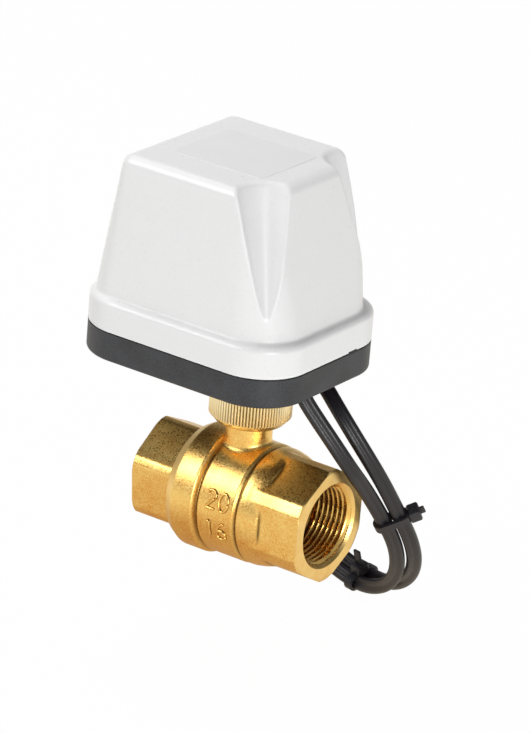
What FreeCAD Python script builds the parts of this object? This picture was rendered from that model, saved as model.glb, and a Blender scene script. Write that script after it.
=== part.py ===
import FreeCAD, Part
import math
import os

# Motorised ball valve, 3/4 inch class. Millimetres.
# Origin: centre of the inlet port's mouth. +X runs through the valve to the outlet, +Z up along the stem.

# Flow line
inlet_to_stem = 32.0
stem_to_outlet = 33.0
thread_major_r = 13.2
thread_depth = 14.0
flow_r = 9.5

# Outlet hexagon, part of the body forging
outlet_hex_flats = 34.5
outlet_hex_length = 14.6
outlet_hex_corner_cut = 4.1
end_chamfer = 0.5

# Inlet hexagon, the end adapter
inlet_hex_flats = 31.7
inlet_hex_length = 15.4
inlet_hex_corner_cut = 3.6
inlet_hex_turn = 6.0

# Barrel of the body
collar_r = 20.5
collar_chamfer = 1.4
collar_band_end = 26.3
middle_r = 19.4
groove_width = 1.9
groove_depth = 0.8
outlet_groove_x = 42.2
shoulder_r = 19.3
shoulder_end_r = 17.9

# Ball, seats and stem
ball_r = 15.0
ball_gap = 0.5
seat_gap = 0.05
seat_r = 14.2
seat_depth = 4.6
seat_pocket_gap = 0.1
spigot_r = 17.0
spigot_length = 6.3
thread_gap = 0.05
seal_groove_width = 1.7
seal_wire_r = 0.68
seal_groove_depth = 1.4
stem_r = 4.0
stem_fit = 0.05
stem_shoulder_r = 5.5
stem_shoulder_z = 14.9
stem_shoulder_height = 1.5
stem_tongue = 3.0
stem_tongue_length = 9.0
stem_tongue_depth = 3.4
tongue_gap = 0.1
washer_height = 1.0
o_ring_wire_r = 0.55
o_ring_groove_width = 1.4
o_ring_heights = (20.5, 24.5)

# Neck, union nut and the actuator's threaded boss
neck_r = 7.4
neck_top = 33.2
neck_foot_r = 3.2
ring_groove_z = 30.4
ring_groove_height = 1.1
ring_groove_depth = 0.7
ring_wire = 1.0
ring_outer_r = 9.2
ring_split = 60.0
pin_r = 0.7
pin_circle_r = 6.3
pin_length = 3.2
pin_fit = 0.08
nut_r = 13.1
nut_bottom = 26.3
nut_height = 17.6
nut_lip_height = 3.9
nut_chamfer = 1.6
nut_fit = 0.08
knurl_count = 80
knurl_depth = 0.35
knurl_band_start = 28.1
boss_r = 11.4
boss_bottom = 33.5

# Actuator housing: outline centre is set off from the stem
housing_offset = -10.3
base_length = 78.5
base_width = 64.6
base_corner_r = 16.6
base_bottom = 44.45
base_top = 53.8
base_wall = 2.4
base_floor = 2.6
base_edge_r = 1.2
joint_gap = 0.3
gasket_width = 1.2
gasket_height = 0.8

# Cover: flange, then a tapering dome with a flute down each corner of the outlet end
flange_top = 64.3
flange_edge_r = 2.0
ledge = 2.7
dome_top = 111.2
dome_top_length = 52.5
dome_top_width = 57.6
dome_top_shift = 0.65
dome_foot_outlet_r = 16.0
dome_foot_inlet_r = 11.5
dome_top_outlet_r = 6.0
dome_top_inlet_r = 3.6
dome_edge_r = 3.2
cover_wall = 2.2
flute_bottom_z = 72.0
flute_bottom_r = 2.0
flute_top_r = 10.2
flute_cut_x = 8.5
flute_cut_y = 16.0
label_length = 34.0
label_width = 30.0
label_thickness = 0.25
label_corner_r = 1.5

# Housing screws
screw_inset_x = 10.75
screw_inset_y = 10.8
screw_shank_r = 1.45
screw_head_r = 2.7
screw_head_height = 1.8
screw_slot = 0.7
screw_slot_depth = 0.8
screw_web_half = 0.9
screw_web_reach = 1.22
screw_hole_r = 1.6
screw_pilot_r = 1.5
screw_post_r = 3.6
cover_post_top = 66.0
cover_screw_length = 14.0
counterbore_r = 3.0
counterbore_depth = 2.0

# Gear frame: two plates on four pillars
plate_length = 48.0
plate_width = 50.0
plate_corner_r = 4.0
plate_thickness = 1.5
lower_plate_z = 55.5
upper_plate_z = 69.0
pillar_inset = 4.0
pillar_r = 2.5
pillar_bore_r = 1.6
frame_post_r = 3.2
frame_screw_start = 49.0

# Gear train
gear_module = 0.7
motor_teeth = 12
idler_wheel_teeth = 36
idler_pinion_teeth = 12
output_teeth = 45
tooth_share = 0.40
addendum = 0.9
dedendum = 1.2
flank_lean = 0.36
upper_mesh_z = 64.5
upper_mesh_height = 3.0
lower_mesh_z = 58.5
lower_mesh_height = 4.0
idler_angle = 143.0
motor_angle = 245.0
shaft_fit = 0.05
idler_pin_r = 1.5
motor_shaft_r = 1.5

# Gearmotor
gearbox_r = 11.8
gearbox_height = 8.5
motor_can_r = 10.0
motor_can_height = 19.0
motor_cap_r = 8.0
motor_cap_height = 2.0
motor_tab = 0.6

# Output shaft, its bush and the cams
output_r = 5.0
output_spindle_r = 3.0
output_top = 83.5
bush_wall = 1.7
bush_flange_r = 8.2
bush_flange_height = 1.2
bush_start = 37.6
hub_r = 9.4
hub_top = 53.6
coupling_flat = 5.2
coupling_height = 4.8
coupling_gap = 0.1
cam_r = 6.6
cam_low_r = 5.2
cam_height = 3.4
cam_closed_z = 72.3
cam_open_z = 78.3
cam_lobe_angle = 70.0

# Microswitches, stacked beside the cams
switch_length = 12.8
switch_depth = 6.5
switch_height = 5.8
switch_gap = 0.2
switch_reach = 7.7
switch_screw_r = 1.0
switch_screw_spacing = 6.5
switch_plunger = 0.7
switch_plunger_r = 0.8
switch_screw_inset = 2.2
switch_tab_spacing = 4.5
switch_tab_half = 0.6
switch_tab_thickness = 0.5
switch_tab_length = 2.5
switch_screw_head_r = 1.9
switch_screw_head_height = 1.3

# Circuit board and what it carries
board_y = 17.0
board_length = 32.0
board_height = 22.0
board_thickness = 1.6
board_z = 72.4
bracket_width = 4.0
bracket_inset = 4.0
bracket_thickness = 1.2
bracket_foot = 5.0
bracket_rise = 6.0
bracket_lip = 2.5
terminal_length = 14.0
terminal_depth = 7.4
terminal_height = 9.0
relay_length = 14.0
relay_depth = 8.4
relay_height = 8.5
capacitor_r = 3.2
capacitor_length = 9.0
capacitor_inset = 8.0
capacitor_rise = 17.0
relay_inset = 1.0
relay_rise = 12.3
terminal_shift = 2.0
terminal_rise = 3.0
terminal_hole_r = 1.4
terminal_hole_depth = 1.5
lead_r = 0.6

# Cable: a flat twin, drawn as a round tube of its own width
cable_r = 2.5
grommet_x = 20.5
grommet_y = -4.8
grommet_r = 4.4
grommet_bore_r = 3.5
grommet_flange_r = 5.2
grommet_flange = 0.9
core_r = 1.0
core_spacing = 2.4
core_length = 13.0
strand_r = 0.5
strand_length = 6.0
tie_gap = 0.15
tie_width = 3.0
tie_thickness = 1.1
tie_head_width = 5.0
tie_head_height = 3.8
tie_stub_front = 1.5
tie_stub_rear = 5.0
tie_turn = -90.0
cable_route = (
    (51.9, -5.2, 47.8), (53.5, -4.1, 41.7), (57.4, -2.3, 35.8), (63.5, 0.2, 27.7), (68.2, 4.6, 18.6),
    (68.6, 11.0, 11.7), (68.9, 17.0, 4.8), (69.8, 24.5, -5.1), (69.5, 31.8, -14.5), (67.3, 38.2, -23.5),
    (63.0, 44.3, -32.2), (56.1, 49.8, -39.7), (47.7, 54.1, -44.4), (39.3, 57.8, -46.3), (32.2, 59.3, -45.5),
    (20.3, 60.1, -41.7), (7.4, 58.5, -32.6), (-4.8, 49.6, -9.1), (-0.8, 36.7, 15.6), (8.9, 28.5, 28.3),
    (18.1, 24.0, 34.4), (27.0, 21.5, 37.8), (36.5, 19.0, 40.0), (45.5, 15.0, 40.4), (51.6, 11.8, 39.1),
    (57.6, 9.8, 35.0), (63.2, 10.2, 28.8), (68.4, 13.3, 20.1), (70.7, 16.3, 14.3), (72.4, 20.5, 7.3),
    (73.4, 27.3, -2.8), (73.6, 34.8, -13.1), (71.1, 42.4, -23.3), (65.5, 49.8, -32.8), (57.0, 56.7, -40.7),
    (48.6, 60.8, -44.4), (40.6, 62.7, -44.6), (33.5, 63.2, -43.4), (26.5, 64.0, -41.2), (18.5, 65.4, -37.5),
    (11.8, 66.6, -33.4))

# Leads inside the housing
lead_spacing = 1.7
supply_route = (
    (51.7, -5.6, 48.4), (50.9, -4.0, 53.0), (50.3, 2.0, 60.0), (48.8, 9.4, 68.0), (44.0, 12.2, 75.5),
    (37.0, 12.6, 79.0), (30.8, 12.4, 79.6))
motor_lead_route_a = (
    (9.0, 1.6, 102.1), (10.0, 3.1, 104.8), (13.4, 7.0, 107.0), (18.5, 10.8, 105.2), (22.4, 13.0, 98.5),
    (23.2, 13.3, 90.5), (23.3, 13.4, 84.5))
motor_lead_route_b = (
    (9.0, -8.0, 102.1), (10.0, -6.4, 104.8), (13.0, -2.6, 107.4), (18.5, 4.2, 107.2), (22.8, 10.2, 103.0),
    (24.8, 12.9, 95.0), (25.0, 13.3, 88.5), (25.1, 13.4, 84.5))

# Derived places
stem_x = inlet_to_stem
length = inlet_to_stem + stem_to_outlet
collar_x = inlet_hex_length + 0.2
housing_x = stem_x + housing_offset

V = FreeCAD.Vector
X_AXIS = V(1, 0, 0)
Y_AXIS = V(0, 1, 0)
Z_AXIS = V(0, 0, 1)


def cylinder(r, z0, z1, x=0.0, y=0.0):
    """Upright cylinder between two heights."""
    return Part.makeCylinder(r, z1 - z0, V(x, y, z0), Z_AXIS)


def tube(outer, inner, z0, z1, x=0.0, y=0.0):
    """Upright cylinder with a bore right through it."""
    return cylinder(outer, z0, z1, x, y).cut(cylinder(inner, z0 - 1, z1 + 1, x, y))


def bar_x(r, x0, x1):
    """Cylinder on the flow axis between two stations."""
    return Part.makeCylinder(r, x1 - x0, V(x0, 0, 0), X_AXIS)


def block(x0, x1, y0, y1, z0, z1):
    """Box between two corners."""
    return Part.makeBox(x1 - x0, y1 - y0, z1 - z0, V(x0, y0, z0))


def turned_x(points):
    """Solid turned about the flow axis from a closed outline of (station, radius) pairs."""
    wire = Part.makePolygon([V(x, 0, r) for x, r in points + points[:1]])
    return Part.Face(wire).revolve(V(0, 0, 0), X_AXIS, 360)


def turned_z(points, x=0.0, y=0.0):
    """Solid turned about an upright axis from a closed outline of (radius, height) pairs."""
    wire = Part.makePolygon([V(x + r, y, z) for r, z in points + points[:1]])
    return Part.Face(wire).revolve(V(x, y, 0), Z_AXIS, 360)


def rounded_wire(cx, cy, lx, ly, r, z, inlet_r=None):
    """Rectangle with round corners in a level plane; the corners at -X may have a radius of their own."""
    hx = lx / 2
    hy = ly / 2
    other = r if inlet_r is None else inlet_r
    edges = []
    corners = ((hx, hy, 0, r), (-hx, hy, 90, other), (-hx, -hy, 180, other), (hx, -hy, 270, r))
    spots = []
    for corner_x, corner_y, start, corner_r in corners:
        x = cx + corner_x - math.copysign(corner_r, corner_x)
        y = cy + corner_y - math.copysign(corner_r, corner_y)
        turns = [math.radians(start + step) for step in (0, 45, 90)]
        spots.append([V(x + corner_r * math.cos(t), y + corner_r * math.sin(t), z) for t in turns])
    for index, (first, middle, last) in enumerate(spots):
        edges.append(Part.Arc(first, middle, last).toShape())
        edges.append(Part.makeLine(last, spots[(index + 1) % 4][0]))
    return Part.Wire(edges)


def rounded_block(cx, cy, lx, ly, r, z0, z1, inlet_r=None):
    """Upright prism on a rectangle with round corners."""
    return Part.Face(rounded_wire(cx, cy, lx, ly, r, z0, inlet_r)).extrude(V(0, 0, z1 - z0))


def cut_hexagon(flats, corner, x0, x1, turn):
    """Hexagon bar along X with its corners cut flat, one pair of flats facing +Y and -Y."""
    half = flats / 2
    tip = flats / math.sqrt(3)
    back = corner / math.sqrt(3)
    side = tip / 2
    points = []
    for index in range(6):
        a = math.radians(60 * index + turn)
        along = side - back
        for s in (-along, along):
            y = half * math.cos(a) - s * math.sin(a)
            z = half * math.sin(a) + s * math.cos(a)
            points.append(V(x0, y, z))
    return Part.Face(Part.makePolygon(points + points[:1])).extrude(V(x1 - x0, 0, 0))


def gear(teeth, z0, z1, x, y, phase, bore):
    """Spur gear with straight-flanked teeth; a tooth stands at the phase angle, in degrees."""
    pitch_r = gear_module * teeth / 2
    tip_r = pitch_r + addendum * gear_module
    root_r = pitch_r - dedendum * gear_module
    step = 2 * math.pi / teeth
    half = step * tooth_share / 2
    lean = flank_lean * gear_module / pitch_r
    points = []
    for index in range(teeth):
        mid = math.radians(phase) + index * step
        flank = ((root_r, -half - lean), (tip_r, -half + lean), (tip_r, half - lean), (root_r, half + lean))
        for r, turn in flank:
            points.append(V(x + r * math.cos(mid + turn), y + r * math.sin(mid + turn), z0))
    body = Part.Face(Part.makePolygon(points + points[:1])).extrude(V(0, 0, z1 - z0))
    return body.cut(cylinder(bore, z0 - 1, z1 + 1, x, y))


def around(shape, places):
    """One compound holding a copy of a shape at each place."""
    copies = []
    for x, y in places:
        copy = shape.copy()
        copy.translate(V(x, y, 0))
        copies.append(copy)
    return Part.makeCompound(copies)


def run_and_arc_path(points):
    """Straight runs joined by tangent arcs as large as the two runs allow; returns the wire and the radii."""
    edges = []
    radii = []
    start = points[0]
    for before, corner, after in zip(points, points[1:], points[2:]):
        back = before.sub(corner)
        ahead = after.sub(corner)
        reach = 0.45 * min(back.Length, ahead.Length)
        turn = math.pi - back.getAngle(ahead)
        radii.append(reach / math.tan(turn / 2))
        back.normalize()
        ahead.normalize()
        first = corner + back * reach
        last = corner + ahead * reach
        bisector = (back + ahead).normalize()
        centre = corner + bisector * (radii[-1] / math.cos(turn / 2))
        middle = centre - bisector * radii[-1]
        edges.append(Part.makeLine(start, first))
        edges.append(Part.Arc(first, middle, last).toShape())
        start = last
    edges.append(Part.makeLine(start, points[-1]))
    return Part.Wire(edges), radii


def round_tube(points, r, label):
    """Round tube along a route; prints its bend radii and compares its volume with section times length."""
    path, radii = run_and_arc_path(points)
    direction = points[1].sub(points[0])
    ring = Part.Wire(Part.makeCircle(r, points[0], direction))
    solid = path.makePipeShell([ring], True, False)
    share = solid.Volume / (math.pi * r * r * path.Length)
    print(label, "length", round(path.Length, 1), "least radius", round(min(radii), 1),
          "radii", [round(value, 1) for value in radii], "volume share", round(share, 4))
    return solid


def save(name, shape):
    """Write one sub-part."""
    shape.exportStep("parts/" + name + ".step")


os.makedirs("parts", exist_ok=True)

# Body forging: turned barrel, outlet hexagon and neck
hex_start = length - outlet_hex_length
spigot_end = collar_x + spigot_length
groove_half = groove_width / 2
groove_x = collar_band_end + groove_half
barrel = turned_x([
    (collar_x, 0), (collar_x, collar_r - collar_chamfer), (collar_x + collar_chamfer, collar_r),
    (collar_band_end, collar_r), (groove_x, middle_r - groove_depth),
    (groove_x + groove_half, middle_r), (outlet_groove_x - groove_half, middle_r),
    (outlet_groove_x, middle_r - groove_depth), (outlet_groove_x + groove_half, shoulder_r),
    ((outlet_groove_x + hex_start) / 2 + 1, (2 * shoulder_r + shoulder_end_r) / 3),
    (hex_start + 1, shoulder_end_r), (hex_start + 1, 0)])
outlet_hex = cut_hexagon(outlet_hex_flats, outlet_hex_corner_cut, hex_start, length, 0)
outlet_round_r = outlet_hex_flats / math.sqrt(3) - outlet_hex_corner_cut / (2 * math.sqrt(3)) + 0.1
outlet_end = turned_x([
    (hex_start - 1, 0), (hex_start - 1, outlet_round_r), (length - end_chamfer, outlet_round_r),
    (length, outlet_round_r - 2 * end_chamfer), (length, 0)])
neck_foot_z = math.sqrt(middle_r ** 2 - neck_r ** 2) - 1.0
foot_arc = Part.Arc(
    V(stem_x + neck_r, 0, neck_foot_z + neck_foot_r + 1.6),
    V(stem_x + neck_r + neck_foot_r * (1 - math.cos(math.pi / 4)), 0,
      neck_foot_z + 1.6 + neck_foot_r * (1 - math.sin(math.pi / 4))),
    V(stem_x + neck_r + neck_foot_r, 0, neck_foot_z + 1.6))
foot_wire = Part.Wire([
    foot_arc.toShape(),
    Part.makeLine(V(stem_x + neck_r + neck_foot_r, 0, neck_foot_z + 1.6), V(stem_x + neck_r + neck_foot_r, 0, 12)),
    Part.makeLine(V(stem_x + neck_r + neck_foot_r, 0, 12), V(stem_x, 0, 12)),
    Part.makeLine(V(stem_x, 0, 12), V(stem_x, 0, neck_foot_z + neck_foot_r + 1.6)),
    Part.makeLine(V(stem_x, 0, neck_foot_z + neck_foot_r + 1.6),
                  V(stem_x + neck_r, 0, neck_foot_z + neck_foot_r + 1.6))])
neck_foot = Part.Face(foot_wire).revolve(V(stem_x, 0, 0), Z_AXIS, 360)
neck = cylinder(neck_r, 12, neck_top, stem_x).fuse(neck_foot)
body = barrel.fuse(outlet_hex.common(outlet_end)).fuse(neck)
washer_top = stem_shoulder_z + stem_shoulder_height + washer_height
seat_face = ball_r - 0.8
body_cuts = [
    bar_x(spigot_r + thread_gap, collar_x - 1, spigot_end + 0.1),
    bar_x(ball_r + ball_gap, collar_x, stem_x + seat_face - seat_depth),
    bar_x(seat_r + seat_pocket_gap, stem_x, stem_x + seat_face + seat_pocket_gap),
    bar_x(flow_r, stem_x, length),
    bar_x(thread_major_r, length - thread_depth, length + 1),
    cylinder(stem_r + stem_fit, 10, neck_top + 1, stem_x),
    cylinder(stem_shoulder_r + 0.3, 10, washer_top, stem_x),
    tube(neck_r + 1, neck_r - ring_groove_depth, ring_groove_z, ring_groove_z + ring_groove_height, stem_x)]
for side in (-1, 1):
    body_cuts.append(cylinder(pin_r, neck_top - pin_length / 2, neck_top + 1, stem_x, side * pin_circle_r))
for tool in body_cuts:
    body = body.cut(tool)
save("valve_body", body)

# End adapter: inlet hexagon and a threaded spigot into the body
inlet_hex = cut_hexagon(inlet_hex_flats, inlet_hex_corner_cut, 0, inlet_hex_length, inlet_hex_turn)
inlet_round_r = inlet_hex_flats / math.sqrt(3) - inlet_hex_corner_cut / (2 * math.sqrt(3)) + 0.1
inlet_end = turned_x([
    (0, 0), (0, inlet_round_r - 2 * end_chamfer), (end_chamfer, inlet_round_r),
    (inlet_hex_length, inlet_round_r), (inlet_hex_length, 0)])
adapter = inlet_hex.common(inlet_end).fuse(bar_x(spigot_r, inlet_hex_length - 0.5, spigot_end))
seal_x = spigot_end - 2.4
adapter_cuts = [
    bar_x(thread_major_r, -1, thread_depth),
    bar_x(flow_r, 0, spigot_end + 1),
    bar_x(seat_r + seat_pocket_gap, stem_x - seat_face - seat_pocket_gap, spigot_end + 1),
    bar_x(spigot_r + 1, seal_x - seal_groove_width / 2, seal_x + seal_groove_width / 2).cut(
        bar_x(spigot_r - seal_groove_depth, 0, length))]
for tool in adapter_cuts:
    adapter = adapter.cut(tool)
save("end_adapter", adapter)
save("adapter_seal", Part.makeTorus(spigot_r - seal_wire_r, seal_wire_r, V(seal_x, 0, 0), X_AXIS))

# Ball, open along the flow axis, slotted on top for the stem's tongue
ball = Part.makeSphere(ball_r, V(stem_x, 0, 0)).cut(bar_x(flow_r, 0, length))
slot_half = stem_tongue / 2 + tongue_gap
slot_reach = stem_tongue_length / 2 + tongue_gap
tongue_bottom = stem_shoulder_z - stem_tongue_depth
ball = ball.cut(block(stem_x - slot_half, stem_x + slot_half, -slot_reach, slot_reach,
                      tongue_bottom - tongue_gap, ball_r + 1))
flat_z = stem_shoulder_z - 0.3
ball = ball.cut(block(stem_x - ball_r, stem_x + ball_r, -ball_r, ball_r, flat_z, ball_r + 1))
save("ball", ball)

# Seats: rings with a hollow face that follows the ball
hollow = Part.makeSphere(ball_r + seat_gap, V(stem_x, 0, 0))
for name, side in (("seat_inlet", -1), ("seat_outlet", 1)):
    near = stem_x + side * (seat_face - seat_depth)
    far = stem_x + side * seat_face
    x0 = min(near, far)
    x1 = max(near, far)
    seat = bar_x(seat_r, x0, x1).cut(bar_x(flow_r, 0, length)).cut(hollow)
    save(name, seat)

# Stem with its tongue, seals and thrust washer
shoulder_top = stem_shoulder_z + stem_shoulder_height
coupling_top = neck_top + coupling_height
stem = cylinder(stem_shoulder_r, stem_shoulder_z, shoulder_top, stem_x)
stem = stem.fuse(cylinder(stem_r, stem_shoulder_z, coupling_top, stem_x))
tongue = block(stem_x - stem_tongue / 2, stem_x + stem_tongue / 2, -stem_tongue_length / 2,
               stem_tongue_length / 2, tongue_bottom, stem_shoulder_z + 0.5)
stem = stem.fuse(tongue)
flat_cut = block(stem_x - stem_r - 1, stem_x + stem_r + 1, coupling_flat / 2, stem_r + 1,
                 neck_top + 0.2, coupling_top + 1)
stem = stem.cut(flat_cut).cut(flat_cut.mirror(V(0, 0, 0), Y_AXIS))
groove_r = stem_r - 2 * o_ring_wire_r - 0.02
for z in o_ring_heights:
    stem = stem.cut(tube(stem_r + 1, groove_r, z - o_ring_groove_width / 2, z + o_ring_groove_width / 2, stem_x))
save("stem", stem)
rings = [Part.makeTorus(stem_r - o_ring_wire_r, o_ring_wire_r, V(stem_x, 0, z), Z_AXIS) for z in o_ring_heights]
save("stem_o_rings", Part.makeCompound(rings))
save("stem_thrust_washer", tube(stem_shoulder_r, stem_r + stem_fit, shoulder_top, washer_top, stem_x))

# Union nut: straight knurl, internal thread for the boss, lip under the split ring
knurl = []
knurl_step = 2 * math.pi / knurl_count
for index in range(knurl_count):
    for share, r in ((0.0, nut_r - knurl_depth), (0.3, nut_r), (0.7, nut_r)):
        a = (index + share) * knurl_step
        knurl.append(V(stem_x + r * math.cos(a), r * math.sin(a), knurl_band_start))
nut_top = nut_bottom + nut_height
knurl_band = Part.Face(Part.makePolygon(knurl + knurl[:1])).extrude(V(0, 0, nut_top - 0.8 - knurl_band_start))
nut_core_r = nut_r - knurl_depth
nut_core = turned_z([
    (0, nut_bottom), (nut_core_r - nut_chamfer, nut_bottom), (nut_core_r, nut_bottom + nut_chamfer),
    (nut_core_r, nut_top - 0.5), (nut_core_r - 0.5, nut_top), (0, nut_top)], stem_x)
lip_top = nut_bottom + nut_lip_height
nut = nut_core.fuse(knurl_band)
nut = nut.cut(cylinder(boss_r + nut_fit, lip_top, nut_top + 1, stem_x))
nut = nut.cut(cylinder(neck_r + nut_fit, nut_bottom - 1, lip_top + 1, stem_x))
save("knurled_nut", nut)

# Split ring that holds the nut on the neck
ring_bottom = ring_groove_z + 0.05
split = tube(ring_outer_r, neck_r - ring_groove_depth, ring_bottom, ring_bottom + ring_wire, stem_x)
gap_half = ring_outer_r * math.tan(math.radians(ring_split / 2))
wedge = Part.Face(Part.makePolygon([
    V(stem_x, 0, ring_bottom - 1), V(stem_x - ring_outer_r - 1, gap_half, ring_bottom - 1),
    V(stem_x - ring_outer_r - 1, -gap_half, ring_bottom - 1), V(stem_x, 0, ring_bottom - 1)]))
save("nut_retaining_ring", split.cut(wedge.extrude(V(0, 0, ring_wire + 2))))
pin = cylinder(pin_r, neck_top - pin_length / 2, neck_top + pin_length / 2, stem_x)
save("locating_pins", around(pin, [(0, -pin_circle_r), (0, pin_circle_r)]))

# Housing base: shallow tray, screw posts, frame posts and the threaded boss
screw_x = base_length / 2 - screw_inset_x
screw_y = base_width / 2 - screw_inset_y
pillar_x = plate_length / 2 - pillar_inset
pillar_y = plate_width / 2 - pillar_inset
posts = [(sx * screw_x, sy * screw_y) for sx in (-1, 1) for sy in (-1, 1)]
pillars = [(sx * pillar_x, sy * pillar_y) for sx in (-1, 1) for sy in (-1, 1)]
inner_length = base_length - 2 * base_wall
inner_width = base_width - 2 * base_wall
inner_corner_r = base_corner_r - base_wall
outer = rounded_block(housing_x, 0, base_length, base_width, base_corner_r, base_bottom, base_top)
bottom_edges = [edge for edge in outer.Edges if edge.BoundBox.ZMax < base_bottom + 0.01]
outer = outer.makeFillet(base_edge_r, bottom_edges)
floor_z = base_bottom + base_floor
base = outer.cut(rounded_block(housing_x, 0, inner_length, inner_width, inner_corner_r, floor_z, base_top + 1))
for x, y in posts:
    base = base.fuse(cylinder(screw_post_r, floor_z - 0.5, base_top, housing_x + x, y))
for x, y in pillars:
    base = base.fuse(cylinder(frame_post_r, floor_z - 0.5, lower_plate_z, housing_x + x, y))
base = base.fuse(cylinder(boss_r, boss_bottom, floor_z, stem_x))
base = base.fuse(cylinder(hub_r, floor_z - 0.5, hub_top, stem_x))
cuts = [cylinder(output_r + 0.3, boss_bottom - 1, hub_top + 1, stem_x),
        cylinder(output_r + shaft_fit + bush_wall, bush_start, hub_top + 1, stem_x),
        cylinder(grommet_r, base_bottom - 1, floor_z + 1, stem_x + grommet_x, grommet_y)]
for side in (-1, 1):
    cuts.append(cylinder(pin_r + pin_fit, boss_bottom - 1, neck_top + pin_length / 2 + 0.6,
                         stem_x, side * pin_circle_r))
for x, y in posts:
    cuts.append(cylinder(screw_hole_r, base_bottom - 1, base_top + 1, housing_x + x, y))
    cuts.append(cylinder(counterbore_r, base_bottom - 1, base_bottom + counterbore_depth, housing_x + x, y))
for x, y in pillars:
    cuts.append(cylinder(screw_pilot_r, frame_screw_start - 0.5, lower_plate_z + 1, housing_x + x, y))
gasket_seat = base_top - gasket_height + joint_gap
gasket_length = base_length - 2 * base_wall + 2 * gasket_width - 0.6
gasket_span = base_width - 2 * base_wall + 2 * gasket_width - 0.6
cuts.append(rounded_block(housing_x, 0, gasket_length, gasket_span, inner_corner_r + gasket_width - 0.3,
                          gasket_seat, base_top + 1))
for x, y in posts:
    cuts[-1] = cuts[-1].cut(cylinder(screw_post_r, gasket_seat - 1, base_top + 2, housing_x + x, y))
cuts[-1] = cuts[-1].cut(cylinder(hub_r, gasket_seat - 1, base_top + 2, stem_x))
for x, y in pillars:
    cuts[-1] = cuts[-1].cut(cylinder(frame_post_r, gasket_seat - 1, base_top + 2, housing_x + x, y))
for tool in cuts:
    base = base.cut(tool)
save("housing_base", base)

cover_bottom = base_top + joint_gap
gasket = rounded_block(housing_x, 0, gasket_length - 0.1, gasket_span - 0.1, inner_corner_r + gasket_width - 0.35,
                       gasket_seat, cover_bottom)
gasket = gasket.cut(rounded_block(housing_x, 0, inner_length, inner_width, inner_corner_r,
                                  gasket_seat - 1, cover_bottom + 1))
for x, y in posts:
    gasket = gasket.cut(cylinder(screw_post_r + 0.2, gasket_seat - 1, cover_bottom + 1, housing_x + x, y))
save("base_gasket", gasket)

# Cover: flange, dome, fluted corners, hollow inside
foot_length = base_length - 2 * ledge
foot_width = base_width - 2 * ledge


def dome_solid(inset, top):
    """Tapering dome, drawn in from the outer skin by a wall's thickness."""
    rise = (top - flange_top) / (dome_top - flange_top)
    top_x = foot_length + (dome_top_length - foot_length) * rise - 2 * inset
    top_y = foot_width + (dome_top_width - foot_width) * rise - 2 * inset
    low = rounded_wire(housing_x, 0, foot_length - 2 * inset, foot_width - 2 * inset,
                       dome_foot_outlet_r - inset, flange_top - 0.5, dome_foot_inlet_r - inset)
    high = rounded_wire(housing_x + dome_top_shift * rise, 0, top_x, top_y, dome_top_outlet_r, top,
                        dome_top_inlet_r)
    return Part.makeLoft([low, high], True, True)


def flutes(inset):
    """Two slanting cones, one down each corner of the outlet end, grown by the wall where that is asked."""
    chord_x = dome_top_length / 2 + dome_top_shift - flute_cut_x / 2
    chord_y = dome_top_width / 2 - flute_cut_y / 2
    chord = math.hypot(flute_cut_x, flute_cut_y)
    out_x = flute_cut_y / chord
    out_y = flute_cut_x / chord
    set_out = math.sqrt(flute_top_r ** 2 - (chord / 2) ** 2)
    rise = (flute_bottom_z - flange_top) / (dome_top - flange_top)
    low_r = dome_foot_outlet_r + (dome_top_outlet_r - dome_foot_outlet_r) * rise
    low_x = (foot_length + (dome_top_length - foot_length) * rise) / 2 - low_r
    low_y = (foot_width + (dome_top_width - foot_width) * rise) / 2 - low_r
    reach = (low_r + flute_bottom_r) * math.sqrt(0.5)
    top = (chord_x + out_x * set_out, chord_y + out_y * set_out, dome_top)
    low = (low_x + reach, low_y + reach, flute_bottom_z)
    over = 1.12
    cones = []
    for side in (-1, 1):
        rings = []
        for part in (0.0, over):
            x = housing_x + low[0] + (top[0] - low[0]) * part
            y = side * (low[1] + (top[1] - low[1]) * part)
            z = low[2] + (top[2] - low[2]) * part
            r = flute_bottom_r + (flute_top_r - flute_bottom_r) * part + inset
            rings.append(Part.Wire(Part.makeCircle(r, V(x, y, z), Z_AXIS)))
        cones.append(Part.makeLoft(rings, True, True))
    return cones


flange = rounded_block(housing_x, 0, base_length, base_width, base_corner_r, cover_bottom, flange_top)
flange_edges = [edge for edge in flange.Edges if edge.BoundBox.ZMin > flange_top - 0.01]
flange = flange.makeFillet(flange_edge_r, flange_edges)
dome = dome_solid(0.0, dome_top)
dome_edges = [edge for edge in dome.Edges if edge.BoundBox.ZMin > dome_top - 0.01]
dome = dome.makeFillet(dome_edge_r, dome_edges)
hollow_dome = dome_solid(cover_wall, dome_top - cover_wall)
for cone in flutes(0.0):
    dome = dome.cut(cone)
for cone in flutes(cover_wall):
    hollow_dome = hollow_dome.cut(cone)
hollow_flange = rounded_block(housing_x, 0, foot_length - 2 * cover_wall, foot_width - 2 * cover_wall,
                              dome_foot_outlet_r - cover_wall, cover_bottom - 1, flange_top,
                              dome_foot_inlet_r - cover_wall)
cover = flange.fuse(dome).cut(hollow_dome).cut(hollow_flange)
for x, y in posts:
    post = cylinder(screw_post_r, cover_bottom, cover_post_top, housing_x + x, y)
    web = block(housing_x + min(x, x * screw_web_reach), housing_x + max(x, x * screw_web_reach),
                y - screw_web_half, y + screw_web_half, cover_bottom + 2, cover_post_top)
    cover = cover.fuse(post).fuse(web)
for x, y in posts:
    cover = cover.cut(cylinder(screw_pilot_r, cover_bottom - 1, cover_bottom + cover_screw_length,
                               housing_x + x, y))
label_x = housing_x + dome_top_shift
label_bed = rounded_block(label_x, 0, label_length + 0.2, label_width + 0.2, label_corner_r,
                          dome_top - label_thickness, dome_top + 1)
cover = cover.cut(label_bed)
save("cover", cover)
save("label", rounded_block(label_x, 0, label_length, label_width, label_corner_r,
                            dome_top - label_thickness, dome_top))

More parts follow.
